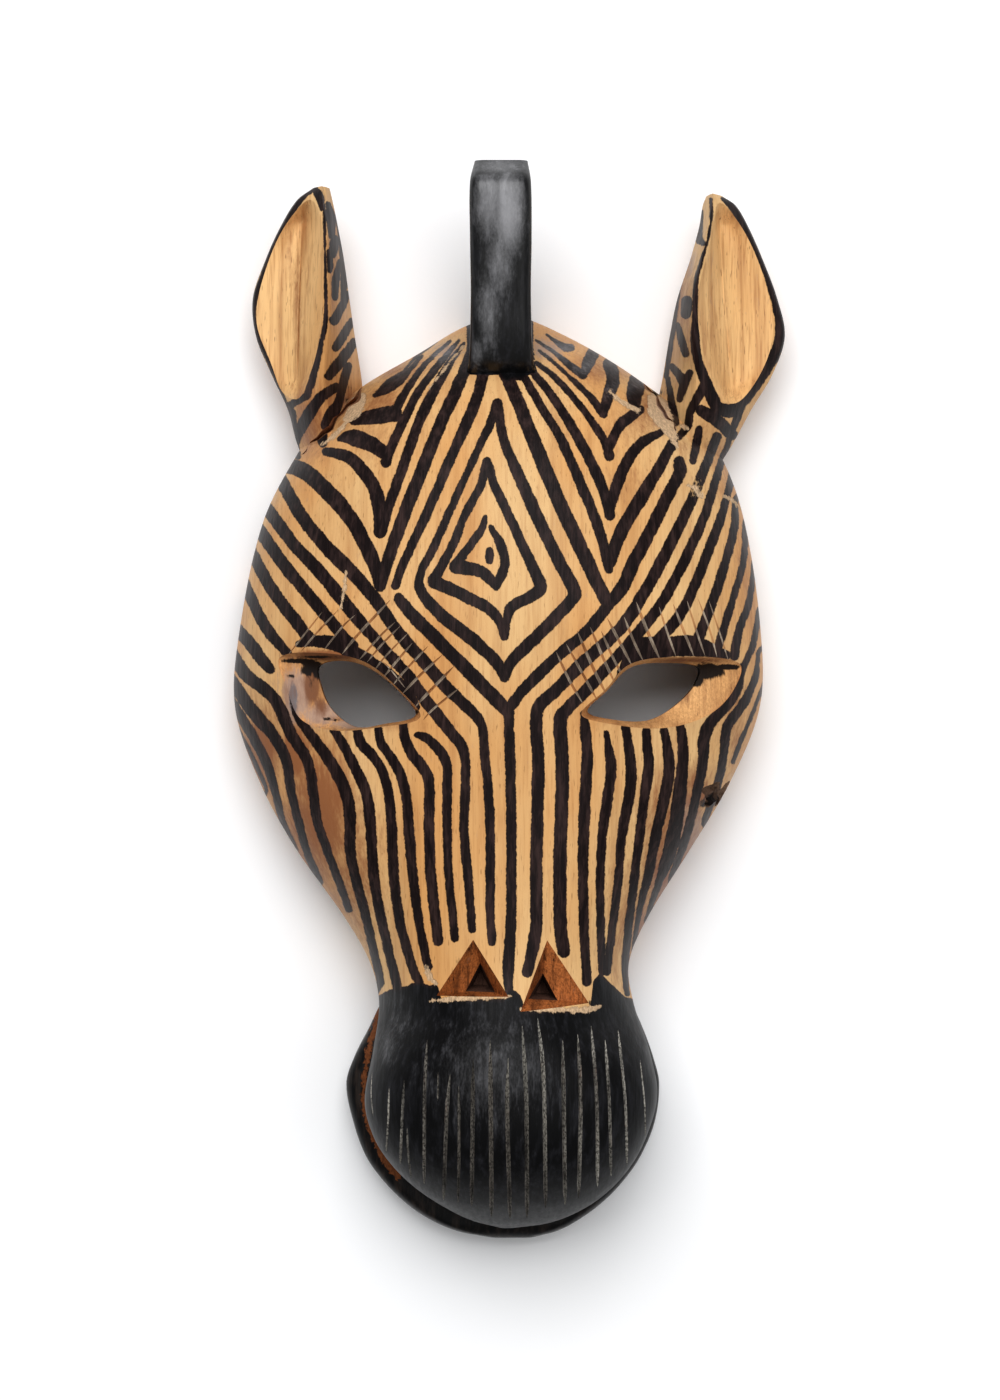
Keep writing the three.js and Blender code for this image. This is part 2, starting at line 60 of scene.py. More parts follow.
MM = 0.001
NODE = "zebra_mask"
MIDLINE_X = -0.65  # millimetres from the part's zero to the carver's
START_Y = -0.95  # and the same along the mask
ABOVE = 12.0  # how far a cutter reaches out of the wood
GRAIN = (1.0, 0.045, 0.25)  # the grain runs along the mask
EVEN = (1.0, 1.0, 1.0)


def to_part(points: Array) -> Array:
    """Points of the carver's frame in the part's frame, in metres."""
    return (points + np.array([MIDLINE_X, START_Y, 0.0])) * MM


def mix(low: Array | float, high: Array | float, share: Array | float) -> Array | float:
    """Value between low and high at a share from 0 to 1."""
    return low + (high - low) * share


def smooth(low: float, high: float, value: Array) -> Array:
    """Smooth step from 0 at low to 1 at high."""
    share = np.clip((value - low) / (high - low), 0.0, 1.0)
    return share * share * (3.0 - 2.0 * share)


class Profile:
    """A smooth curve through rows of distance along the mask and size there."""

    def __init__(self, rows: Rows, column: int = 1) -> None:
        """Fits the curve.

        Args:
            rows: rows of distance and one or more sizes.
            column: which size the curve follows.
        """
        table = np.array([(row[0], row[column]) for row in rows], dtype=float)
        table = table[np.argsort(table[:, 0])]
        self.places, self.sizes = table[:, 0], table[:, 1]
        ends = np.arange(len(table))
        before, after = np.maximum(ends - 1, 0), np.minimum(ends + 1, len(table) - 1)
        self.slopes = (self.sizes[after] - self.sizes[before]) / (self.places[after] - self.places[before])

    def __call__(self, at: Array | float) -> Array:
        """Size at a distance along the mask.

        Args:
            at: one distance or many.

        Returns:
            The size at each.
        """
        at = np.clip(np.asarray(at, dtype=float), self.places[0], self.places[-1])
        i = np.clip(np.searchsorted(self.places, at, side="left") - 1, 0, len(self.places) - 2)
        span = self.places[i + 1] - self.places[i]
        t = (at - self.places[i]) / span
        rise = self.sizes[i + 1] - self.sizes[i]
        bend_in = self.slopes[i] * span - rise
        bend_out = rise - self.slopes[i + 1] * span
        return self.sizes[i] + t * rise + t * (1.0 - t) * ((1.0 - t) * bend_in + t * bend_out)


def stations(start: float, end: float, count: int, crowding: float = 0.6) -> Array:
    """Distances from start to end, closer together towards both ends.

    Args:
        start: first distance.
        end: last distance.
        count: number of steps.
        crowding: 0 for even steps, 1 for the most crowded ends.

    Returns:
        The distances, one more than the steps.
    """
    even = np.linspace(0.0, 1.0, count + 1)
    eased = (1.0 - np.cos(math.pi * even)) / 2.0
    return mix(start, end, mix(even, eased, crowding))


def run_along(path: Array) -> Array:
    """Length of a path up to each of its points."""
    return np.concatenate([[0.0], np.cumsum(np.linalg.norm(np.diff(path, axis=0), axis=1))])


def round_curve(points: Rows, each: int) -> Array:
    """Smooth closed curve through points in plan, with as many steps between any two of them.

    Args:
        points: x and y of each knot.
        each: steps from one knot to the next.

    Returns:
        The curve's x and y, one row each.
    """
    knots = np.array(points, dtype=float)
    pieces = []
    for i in range(len(knots)):
        a, b, c, d = (knots[(i + k) % len(knots)] for k in (-1, 0, 1, 2))
        ta, tb, tc = (max(float(np.linalg.norm(q - p)), 1e-6) ** 0.5 for p, q in ((a, b), (b, c), (c, d)))
        leave = ((b - a) / ta - (c - a) / (ta + tb) + (c - b) / tb) * tb
        arrive = ((c - b) / tb - (d - b) / (tb + tc) + (d - c) / tc) * tb
        t = np.linspace(0.0, 1.0, each, endpoint=False)[:, None]
        pieces.append(
            (2 * t**3 - 3 * t**2 + 1) * b + (t**3 - 2 * t**2 + t) * leave
            + (3 * t**2 - 2 * t**3) * c + (t**3 - t**2) * arrive
        )
    return np.concatenate(pieces)


def contour(points: Rows, count: int) -> Array:
    """Smooth closed curve through points in plan, divided evenly.

    Args:
        points: x and y of each knot.
        count: number of points to return.

    Returns:
        The curve's x and y, one row each.
    """
    path = round_curve(points, 24)
    closed = np.vstack([path, path[:1]])
    run = run_along(closed)
    wanted = np.linspace(0.0, run[-1], count, endpoint=False)
    return np.column_stack([np.interp(wanted, run, closed[:, axis]) for axis in (0, 1)])


def placed(name: str, data: ID) -> Object:
    """A new object in the scene with its mesh, lamp or camera.

    Args:
        name: the object's name.
        data: what it shows.

    Returns:
        The object.
    """
    piece = bpy.data.objects.new(name, data)
    bpy.context.scene.collection.objects.link(piece)
    return piece


@dataclass
class Shell:
    """One closed surface: points in the carver's frame, and faces."""

    points: Array
    faces: list[Sequence[int]]

    @classmethod
    def loft(cls, rings: Array) -> "Shell":
        """Skin over rings of equal count, with a fan over each end, facing out.

        Args:
            rings: array of rings, points and coordinates.

        Returns:
            The closed shell.
        """
        rings = np.asarray(rings, dtype=float)
        rows, count = rings.shape[:2]
        index = np.arange(rows * count).reshape(rows, count)
        after = np.roll(index, -1, axis=1)
        sides = np.stack([index[:-1], index[1:], after[1:], after[:-1]], axis=-1).reshape(-1, 4)
        first, last = rows * count, rows * count + 1
        points = np.vstack([rings.reshape(-1, 3), rings[0].mean(axis=0), rings[-1].mean(axis=0)])
        caps = [(first, index[0, j], after[0, j]) for j in range(count)]
        caps += [(last, after[-1, j], index[-1, j]) for j in range(count)]
        shell = cls(points, [*sides.tolist(), *caps])
        volume = 0.0
        for corners in (sides[:, :3], sides[:, [0, 2, 3]], np.array(caps)):
            a, b, c = (points[corners[:, k]] - points[first] for k in range(3))
            volume += np.einsum("ij,ij->", a, np.cross(b, c))
        if volume < 0.0:
            shell.faces = [tuple(reversed(face)) for face in shell.faces]
        return shell

    def build(self, name: str, finish: Material) -> Object:
        """The shell as a Blender object.

        Args:
            name: the object's name.
            finish: material of all its faces.

        Returns:
            The new object, linked to the scene.
        """
        mesh = bpy.data.meshes.new(name)
        mesh.from_pydata((self.points * MM).tolist(), [], self.faces)
        mesh.materials.append(finish)
        return placed(name, mesh)


class Cut(Enum):
    """What a tool does to the block."""

    JOIN = "UNION"
    TAKE = "DIFFERENCE"


class Carver:
    """Joins pieces to a block of wood and cuts them out of it."""

    def __init__(self, block: Object) -> None:
        """Starts on a block, which is changed in place."""
        self.block = block

    def work(self, tool: Object, cut: Cut) -> None:
        """Joins one tool to the block or cuts it out, and removes the tool.

        Args:
            tool: closed mesh whose material the new faces keep.
            cut: what is done with it.
        """
        change = self.block.modifiers.new(cut.name.lower(), "BOOLEAN")
        change.operation = cut.value
        change.solver = "MANIFOLD"
        change.material_mode = "TRANSFER"
        change.object = tool
        settle(self.block)
        bpy.data.objects.remove(tool, do_unlink=True)


def settle(piece: Object) -> None:
    """Turns a piece's modifiers into plain mesh.

    Args:
        piece: the piece, whose mesh is replaced.
    """
    graph = bpy.context.evaluated_depsgraph_get()
    shown = piece.evaluated_get(graph)
    made = bpy.data.meshes.new_from_object(shown, preserve_all_data_layers=True, depsgraph=graph)
    old = piece.data
    piece.modifiers.clear()
    piece.data = made
    bpy.data.meshes.remove(old)


def read(items: bpy_prop_collection, what: str, width: int) -> Array:
    """One property of all items as an array.

    Args:
        items: the points, corners or faces of a mesh.
        what: the property.
        width: how many numbers it has for each.

    Returns:
        One row for each item.
    """
    values = np.empty(len(items) * width)
    items.foreach_get(what, values)
    return values.reshape(-1, width)


def store(mesh: Mesh, name: str, values: Array, domain: str = "POINT") -> None:
    """Keeps one or three numbers for each point or corner of the mesh."""
    kind, what = ("FLOAT", "value") if values.ndim == 1 else ("FLOAT_VECTOR", "vector")
    mesh.attributes.new(name, kind, domain).data.foreach_set(what, values.astype(np.float32).ravel())


def spots(pixels: Array, places: Rows) -> Array:
    """Soft round spots in the photo's frame, from 0 to 1.

    Args:
        pixels: where the points are seen.
        places: x, y, the reach along each axis, and the strength.

    Returns:
        The strength at each point.
    """
    total = np.zeros(len(pixels))
    for x, y, wide, tall, strength in places:
        far = ((pixels[:, 0] - x) / wide) ** 2 + ((pixels[:, 1] - y) / tall) ** 2
        total = np.maximum(total, strength * np.exp(-far))
    return total


def triangles(piece: Object) -> int:
    """Number of triangles of a piece."""
    return sum(len(face.vertices) - 2 for face in piece.data.polygons)


def touched(mesh: Mesh, material: Material) -> Array:
    """Which points of the mesh lie on a face of one material.

    Args:
        mesh: the mesh.
        material: the material looked for.

    Returns:
        True or False for each point.
    """
    slots = [i for i, m in enumerate(mesh.materials) if m == material]
    index = read(mesh.polygons, "material_index", 1).ravel()
    totals = read(mesh.polygons, "loop_total", 1).astype(int).ravel()
    corners = read(mesh.loops, "vertex_index", 1).astype(int).ravel()
    found = np.zeros(len(mesh.vertices), dtype=bool)
    found[corners[np.repeat(np.isin(index, slots), totals)]] = True
    return found


@dataclass
class Head:
    """The head from the mane to the upper lip: an arch over a flat back."""

    # Rows of the distance along the mask and a size there.
    top_y: float = 123.5
    lip_y: float = -159.0
    left_edge: Rows = (
        (123.5, 3), (119, 14.5), (111, 27.5), (101, 44.5), (91, 56.5), (80, 65), (58, 76), (21, 83.7),
        (0, 84.4), (-23, 76.5), (-43, 65.5), (-64, 50.5), (-78, 42.4), (-90, 39.4), (-104, 41),
        (-119, 43.4), (-130, 40.6), (-138, 35.6), (-145, 28.8), (-151, 20.6), (-156.2, 11.4),
        (-159, 2.5),
    )
    right_edge: Rows = (
        (123.5, 3), (119, 13.5), (111, 28.5), (101, 43.5), (91, 56), (80, 66), (58, 74), (21, 79.2),
        (0, 78.4), (-23, 69), (-43, 57), (-64, 43.8), (-78, 37.8), (-90, 39), (-104, 43.6), (-117, 45.8),
        (-130, 42.4), (-140, 37), (-148, 29.6), (-154.2, 20.6), (-157.8, 11.4), (-159, 2.5),
    )
    crown_z: Rows = (
        (123.5, 16), (121, 21), (114, 36), (102, 55), (84, 66), (63, 72), (33, 76), (3, 75), (-27, 72),
        (-57, 70), (-78, 70), (-90, 72.5), (-102, 77), (-117, 78.4), (-135, 74.5), (-148, 62),
        (-155.8, 46), (-159, 34),
    )
    widest_z: Rows = (
        (123.5, 12), (80, 14), (-60, 15), (-80, 21), (-100, 38), (-120, 45), (-148, 40), (-159, 31),
    )
    undercut: Rows = ((123.5, 0.06), (-70, 0.05), (-110, 0.3), (-159, 0.3))
    arch_power: float = 2.2
    # Swells and hollows on both sides: across, along, reach across, reach along, rise.
    swells: Rows = ((46, 27, 24, 9, 1.6), (50, -6, 22, 15, -4), (37, -50, 9, 26, -2), (33, -94, 13, 8, -3))
    steps: int = 252
    arch_steps: int = 190
    wall_steps: int = 12
    back_steps: int = 8

    def __post_init__(self) -> None:
        """Fits the profiles."""
        self.left, self.right = Profile(self.left_edge), Profile(self.right_edge)
        self.crown, self.low = Profile(self.crown_z), Profile(self.widest_z)
        self.draw_in = Profile(self.undercut)

    def relief(self, x: Array, y: Array) -> Array:
        """Broad swells and hollows of the face, the same on both sides.

        Args:
            x: distances from the midline.
            y: distances along the mask.

        Returns:
            The rise at each place.
        """
        total = np.zeros(np.broadcast(x, y).shape)
        for side, along, spread_x, spread_y, rise in self.swells:
            total += rise * np.exp(-(((np.abs(x) - side) / spread_x) ** 2) - ((y - along) / spread_y) ** 2)
        return total

    def face_z(self, x: Array, y: Array) -> Array:
        """Height of the face above the back at a place in plan.

        Args:
            x: distances from the midline.
            y: distances along the mask.

        Returns:
            The height at each place.
        """
        half = np.where(x < 0, self.left(y), self.right(y))
        share = np.minimum(np.abs(x) / half, 1.0)
        low = self.low(y)
        arch = (1.0 - share**self.arch_power) ** (1.0 / self.arch_power)
        return low + (self.crown(y) - low) * arch + self.relief(x, y)

    def face_normal(self, x: Array, y: Array) -> Array:
        """Direction straight out of the face at a place in plan.

        Args:
            x: distances from the midline.
            y: distances along the mask.

        Returns:
            The direction at each place, of length 1.
        """
        step = 0.5
        slope_x = (self.face_z(x + step, y) - self.face_z(x - step, y)) / (2 * step)
        slope_y = (self.face_z(x, y + step) - self.face_z(x, y - step)) / (2 * step)
        out = np.stack([-slope_x, -slope_y, np.ones_like(slope_x)], axis=-1)
        return out / np.linalg.norm(out, axis=-1, keepdims=True)

    def on_face(self, points: Array, lift: float = 0.0) -> Array:
        """Points in plan lifted to the face, and a little over or under it."""
        return np.column_stack([points, self.face_z(points[:, 0], points[:, 1]) + lift])

    def ring(self, y: float) -> Array:
        """Section of the head at a distance along it.

        Args:
            y: the distance along the mask.

        Returns:
            The ring's points.
        """
        left, right, top, low = (float(f(y)) for f in (self.left, self.right, self.crown, self.low))
        cut = float(self.draw_in(y))
        share = np.arange(self.wall_steps) / self.wall_steps
        wall = 1.0 - cut * (1.0 - share) ** 2
        turn = np.linspace(0.0, 2.0, self.arch_steps + 1)
        x, rise = arch(turn, left, right, self.arch_power)
        z = low + (top - low) * rise + self.relief(x, y) * np.minimum(rise * 3.0, 1.0)
        back = np.linspace(-left * wall[0], right * wall[0], self.back_steps + 1)[1:-1]
        xs = np.concatenate([right * wall, x, (-left * wall)[::-1], back])
        zs = np.concatenate([low * share, z, (low * share)[::-1], np.zeros(len(back))])
        return np.column_stack([xs, np.full(len(xs), y), zs])

    def shell(self) -> Shell:
        """The head as a closed shell."""
        return Shell.loft([self.ring(y) for y in stations(self.top_y, self.lip_y, self.steps, 0.45)])


def arch(turn: Array, left: float, right: float, power: float) -> tuple[Array, Array]:
    """Places on an arch's section.

    Args:
        turn: 0 at the right edge, 1 at the crown and 2 at the left edge.
        left: half width on the left.
        right: half width on the right.
        power: 2 for an ellipse, more for a squarer arch.

    Returns:
        Distance across, and height as a share of the crown's.
    """
    angle = np.asarray(turn) * math.pi / 2
    across = np.sign(np.cos(angle)) * np.abs(np.cos(angle)) ** (2 / power)
    return across * np.where(across < 0, left, right), np.abs(np.sin(angle)) ** (2 / power)


def rounded_ring(
    y: float, left: float, right: float, low: float, high: float,
    corner: float, low_corner: float, steps: int = 10,
) -> Array:
    """Section of a block with rounded corners.

    Args:
        y: distance along the mask.
        left: edge to the left of the midline.
        right: edge to the right of it.
        low: height of its back.
        high: height of its front.
        corner: radius of the front's corners.
        low_corner: radius of the back's corners.
        steps: points round each corner, and along each side.

    Returns:
        The ring's points.
    """
    corners = (
        (right - corner, high - corner, 0.0, corner),
        (-left + corner, high - corner, 0.5, corner),
        (-left + low_corner, low + low_corner, 1.0, low_corner),
        (right - low_corner, low + low_corner, 1.5, low_corner),
    )
    outline = []
    for x, z, start, radius in corners:
        angle = math.pi * (start + np.linspace(0.0, 0.5, steps))
        outline.append(np.column_stack([x + radius * np.cos(angle), z + radius * np.sin(angle)]))
    spaced = []
    for arc, following in zip(outline, outline[1:] + outline[:1]):
        along = np.linspace(0.0, 1.0, steps + 1)[1:-1, None]
        spaced += [arc, mix(arc[-1:], following[:1], along)]
    flat = np.vstack(spaced)
    return np.column_stack([flat[:, 0], np.full(len(flat), y), flat[:, 1]])


def triangle(points: Rows, steps: int) -> Array:
    """Ring round a triangle, with each edge divided into steps.

    Args:
        points: its three corners.
        steps: the steps.

    Returns:
        The ring's points.
    """
    corners = np.array(points, dtype=float)
    shares = np.linspace(0.0, 1.0, steps, endpoint=False)[:, None]
    return np.vstack([mix(corners[i], corners[(i + 1) % 3], shares) for i in range(3)])


@dataclass
class Hollow:
    """The hollow behind the face, open at the back."""

    head: Head
    rim: float = 12.0
    wall: float = 13.5
    top_y: float = 97.0
    low_y: float = -79.0
    end: float = 34.0
    edge_z: float = 6.0
    end_width: float = 0.25
    steps: int = 60
    arch_steps: int = 44

    def shell(self) -> Shell:
        """The cutter that digs the hollow.

        Returns:
            The closed shell.
        """
        rings = []
        for y in stations(self.top_y, self.low_y, self.steps, 0.9):
            from_top = min(max((self.top_y - y) / self.end, 0.0), 1.0)
            from_low = min(max((y - self.low_y) / self.end, 0.0), 1.0)
            round_top, round_low = (math.sqrt(1.0 - (1.0 - share) ** 2) for share in (from_top, from_low))
            narrow = mix(self.end_width, 1.0, round_top * round_low)
            edges = (self.head.left, self.head.right)
            left, right = ((float(edge(y)) - self.rim) * narrow for edge in edges)
            deep = mix(self.edge_z, float(self.head.crown(y)) - self.wall, round_top * from_low**0.8)
            x, rise = arch(np.linspace(0.0, 2.0, self.arch_steps + 1), left, right, self.head.arch_power)
            xs = np.concatenate([[right], x, [-left]])
            zs = np.concatenate([[-ABOVE], deep * rise, [-ABOVE]])
            rings.append(np.column_stack([xs, np.full(len(xs), y), zs]))
        return Shell.loft(rings)


@dataclass
class Mane:
    """The upright block of mane on the crown."""

    # Along the mask, left edge, right edge, height of the front, height of the back.
    rows: Rows = (
        (92, 10, 7, 44, 20), (100, 12.6, 9.4, 51.4, 16), (106, 11.6, 8, 58.6, 16), (125, 11, 7.2, 64, 21),
        (142, 11.2, 7.4, 68, 28), (158.6, 11.2, 7.2, 72, 37), (166, 9.8, 6.2, 63, 44),
    )
    corner: float = 3.2
    steps: int = 64

    def shell(self) -> Shell:
        """The mane as a closed shell.

        Returns:
            The closed shell.
        """
        left, right, front, back = (Profile(self.rows, column) for column in (1, 2, 3, 4))
        places = np.linspace(self.rows[0][0], self.rows[-1][0], self.steps + 1)
        return Shell.loft([
            rounded_ring(y, *(float(f(y)) for f in (left, right, back, front)), self.corner, self.corner)
            for y in places
        ])


@dataclass
class Ear:
    """One ear: a leaf with a ridge, scooped out on its outward face."""

    side: float  # -1 for the left ear, 1 for the right
    plan: Rows  # along the mask, outer edge, inner edge, ridge
    scoop: Rows  # outline of the scoop
    flute: Rows  # ends of the line where it is deepest
    ridge_z: Rows = ((162, 32), (150, 38), (128, 43), (108, 46), (94, 45.5), (82, 42), (68, 38))
    edge_z: Rows = ((162, 27), (150, 24), (128, 21), (104, 22), (88, 22), (68, 18))
    under_z: Rows = ((162, 22), (150, 17), (128, 12), (104, 9), (88, 6), (68, 5))
    root_swell: float = 5.0
    root_top_y: float = 108.0
    root_low_y: float = 90.0
    scoop_depth: float = 9.0
    back_round: float = 4.0
    steps: int = 84
    face_steps: int = 26
    side_steps: int = 5
    scoop_steps: int = 130
    sink_steps: int = 22

    def __post_init__(self) -> None:
        """Fits the profiles."""
        self.outer, self.inner, self.ridge = (Profile(self.plan, column) for column in (1, 2, 3))
        self.heights = [Profile(rows) for rows in (self.ridge_z, self.edge_z, self.under_z)]

    def face_z(self, out: Array, y: Array) -> Array:
        """Height of the outward face at a distance out from the midline, before it is scooped.

        Args:
            out: distances out from the midline.
            y: distances along the mask.

        Returns:
            The height at each place.
        """
        outer, ridge = self.outer(y), self.ridge(y)
        share = np.clip((out - ridge) / (outer - ridge), 0.0, 1.0)
        swell = self.root_swell * (1.0 - smooth(self.root_low_y, self.root_top_y, np.asarray(y)))
        return mix(self.heights[0](y), self.heights[1](y), share) + swell * np.sin(math.pi * share)

    def ring(self, y: float) -> Array:
        """Section of the ear at a distance along the mask.

        Args:
            y: the distance along the mask.

        Returns:
            The ring's points.
        """
        out, ins, mid = (float(f(y)) for f in (self.outer, self.inner, self.ridge))
        under = float(self.heights[2](y))
        edge = float(self.face_z(out, y))
        high = float(self.face_z(mid, y))
        across = mix(mid, out - 0.6, np.linspace(0.0, 1.0, self.face_steps))
        face = np.column_stack([across, self.face_z(across, np.full_like(across, y))])
        rest = np.array([
            (out, edge - 1.0),
            (out - 1.2, (edge + under) / 2),
            (mix(out, ins, 0.3), under),
            (mix(out, ins, 0.8), under),
            (ins, under + self.back_round),
            (mix(ins, mid, 0.5), mix(under + self.back_round, high, 0.66)),
            (mix(ins, mid, 0.88), high - 1.0),
        ])
        turns = np.vstack([face[-1:], rest, face[:1]])
        shares = np.linspace(0.0, 1.0, self.side_steps + 1)[1:]
        fine = [mix(a, b, share) for a, b in zip(turns, turns[1:]) for share in shares]
        flat = np.vstack([face, np.array(fine)[:-1]])
        return np.column_stack([self.side * flat[:, 0], np.full(len(flat), y), flat[:, 1]])

    def shell(self) -> Shell:
        """The ear before it is scooped."""
        places = stations(self.plan[0][0], self.plan[-1][0], self.steps, 0.4)
        return Shell.loft([self.ring(y) for y in places])

    def scoop_shell(self) -> Shell:
        """The cutter of the scoop: its outline sinks towards the flute line, steeply on the ridge's side.

        Returns:
            The closed shell.
        """
        rim = contour(self.scoop, self.scoop_steps)
        top, low = (np.array(point, dtype=float) for point in self.flute)
        along = low - top
        share = np.clip((rim - top) @ along / (along @ along), 0.0, 1.0)[:, None]
        nearest = top + share * along
        depth = Profile(((0, 0), (0.45, 0.6), (0.8, 0.93), (0.97, 1)))
        rings = []
        for sink, lift in ((0.0, ABOVE), *((s, 0.0) for s in np.linspace(0.0, 0.97, self.sink_steps))):
            at = mix(rim, nearest, sink)
            z = self.face_z(at[:, 0], at[:, 1]) + lift - self.scoop_depth * float(depth(sink))
            rings.append(np.column_stack([self.side * at[:, 0], at[:, 1], z]))
        return Shell.loft(rings)


@dataclass
class Eye:
    """An eye hole: matched points of its rim on the face and of the hole below it."""

    head: Head
    rim: Rows
    hole: Rows
    lid_depth: float = 8.0
    lid_edge: float = 0.5
    bulge: float = 0.7
    steps: int = 16
    bevel_steps: int = 14

    def shell(self) -> Shell:
        """The cutter of the eye.

        Returns:
            The closed shell.
        """
        outer, inner = (round_curve(points, self.steps) for points in (self.rim, self.hole))
        on = self.head.on_face
        top, foot = on(outer, -self.lid_edge)[:, 2], on(inner, -self.lid_depth)[:, 2]
        bevel = []
        for share in np.linspace(0.0, 1.0, self.bevel_steps):
            z = mix(top, foot, share) + self.bulge * math.sin(math.pi * share)
            bevel.append(np.column_stack([mix(outer, inner, share), z]))
        floor = np.column_stack([inner, np.full(len(inner), ABOVE)])
        return Shell.loft([on(outer, ABOVE), *bevel, floor])


@dataclass
class Nostril:
    """A three-cornered pit with a deep hole in it: apex, left foot and right foot of each."""

    head: Head
    pit: Rows
    hole: Rows
    pit_depth: float = 6.0
    hole_depth: float = 17.0
    steps: int = 14
    wall_steps: int = 6

    def shell(self) -> Shell:
        """The cutter of the pit.

        Returns:
            The closed shell.
        """
        on = self.head.on_face
        pit, hole = (triangle(points, self.steps) for points in (self.pit, self.hole))
        shares = np.linspace(0.0, 1.0, self.wall_steps)
        walls = [mix(on(pit), on(hole, -self.pit_depth), share) for share in shares]
        return Shell.loft([on(pit, ABOVE), *walls])

    def deep_shell(self) -> Shell:
        """The cutter of the hole in the pit.

        Returns:
            The closed shell.
        """
        middle = np.mean(self.hole, axis=0)
        narrowed = (np.array(self.hole) + middle) / 2
        on = self.head.on_face
        hole, deep = (triangle(points, self.steps) for points in (self.hole, narrowed))
        return Shell.loft([on(hole, ABOVE), on(hole, -self.pit_depth), on(deep, -self.hole_depth)])


@dataclass
class Jaw:
    """The flat lower jaw behind the muzzle, and the slit between the lips."""

    head: Head
    # Along the mask, left edge, right edge.
    edge: Rows = (
        (-84, 34, 33), (-92, 39.6, 39), (-99, 43, 42.4), (-108, 47.6, 45.6), (-116, 50, 47.4),
        (-128, 47.8, 46), (-139, 43.7, 41.4), (-146.6, 38.2, 36), (-152.4, 32.4, 30.4),
        (-157.6, 25.2, 23.6), (-162, 15.4, 15.6), (-164.1, 5, 8),
    )
    thick: float = 20.0
    corner: float = 5.0
    back_corner: float = 2.0
    mouth_gap: float = 6.0
    mouth_depth: float = 17.0
    mouth_corner_y: float = -92.0
    steps: int = 90

    def shell(self) -> Shell:
        """The jaw as a closed shell.

        Returns:
            The closed shell.
        """
        left, right = (Profile(self.edge, column) for column in (1, 2))
        rings = []
        for y in stations(self.edge[0][0], self.edge[-1][0], self.steps, 0.7):
            corner = min(self.corner, float(left(y)) / 2)
            near = min(max(1.0 - (y - self.edge[-1][0]) / self.corner, 0.0), 1.0)
            high = self.thick - self.corner * (1.0 - math.sqrt(1.0 - near * near))
            wide = (float(left(y)), float(right(y)))
            rings.append(rounded_ring(y, *wide, 0.0, high, corner, self.back_corner))
        return Shell.loft(rings)

    def slab_shell(self) -> Shell:
        """A slab all round the muzzle, from which the core is taken.

        Returns:
            The closed shell.
        """
        wide = float(self.head.left(0.0))
        low, high = self.thick, self.thick + self.mouth_gap
        ends = np.linspace(self.mouth_corner_y, self.head.lip_y - ABOVE, 40)
        return Shell.loft([rounded_ring(y, wide, wide, low, high, 0.5, 0.5, 6) for y in ends])

    def core_shell(self) -> Shell:
        """The wood that ties the jaw to the muzzle.

        Returns:
            The closed shell.
        """
        low, high = self.thick - ABOVE, self.thick + self.mouth_gap + ABOVE
        rings = []
        for y in stations(self.mouth_corner_y + ABOVE, self.head.lip_y + self.mouth_depth, 60, 0.8):
            shore = y - self.mouth_depth * 0.75
            reach = [
                max(min(float(edge(y)), float(edge(shore))) - self.mouth_depth, 3.0)
                for edge in (self.head.left, self.head.right)
            ]
            rings.append(rounded_ring(y, *reach, low, high, 0.5, 0.5, 6))
        return Shell.loft(rings)


@dataclass
class Crevice:
    """An upright V cut between ear and head, along rows of x, y and the height of its bottom."""

    path: Rows
    slope: float = 0.13
    waver: float = 0.5
    steps: int = 6
    side_steps: int = 7

    def shell(self) -> Shell:
        """The cutter of the crevice.

        Returns:
            The closed shell.
        """
        knots = np.array(self.path, dtype=float)
        t = np.linspace(0.0, len(knots) - 1.0, (len(knots) - 1) * self.steps + 1)
        path = np.column_stack([np.interp(t, np.arange(len(knots)), knots[:, k]) for k in range(3)])
        along = np.gradient(path[:, :2], axis=0)
        across = np.column_stack([along[:, 1], -along[:, 0]])
        across /= np.linalg.norm(across, axis=1, keepdims=True)
        path[:, :2] += across * (self.waver * (np.sin(4.2 * t) + 0.6 * np.sin(9.0 * t + 1.0)))[:, None]
        reach = 2 * ABOVE * self.slope
        rings = []
        for point, way in zip(path, across):
            lip = point + np.array([0.0, 0.0, 2 * ABOVE])
            side = np.array([way[0], way[1], 0.0]) * reach
            rings.append(triangle(np.array([point, lip + side, lip - side]), self.side_steps))
        return Shell.loft(rings)


@dataclass
class Chip:
    """A broken spot: the place and the radii of the lump that came out."""

    centre: Triple
    radii: Triple
    rings: int = 14
    corners: int = 22

    def shell(self) -> Shell:
        """The cutter of the chip.

        Returns:
            The closed shell.
        """
        angle = np.linspace(0.0, 2 * math.pi, self.corners, endpoint=False)
        rings = []
        for turn in np.linspace(0.02, 0.98, self.rings) * math.pi:
            ragged = 1.0 + 0.14 * np.sin(3 * angle + 5 * turn) + 0.12 * np.sin(7 * angle - 6 * turn)
            reach = np.sin(turn) * ragged
            height = np.full(self.corners, np.cos(turn))
            ring = np.column_stack([reach * np.cos(angle), height, reach * np.sin(angle)])
            rings.append(ring * self.radii + self.centre)
        return Shell.loft(rings)


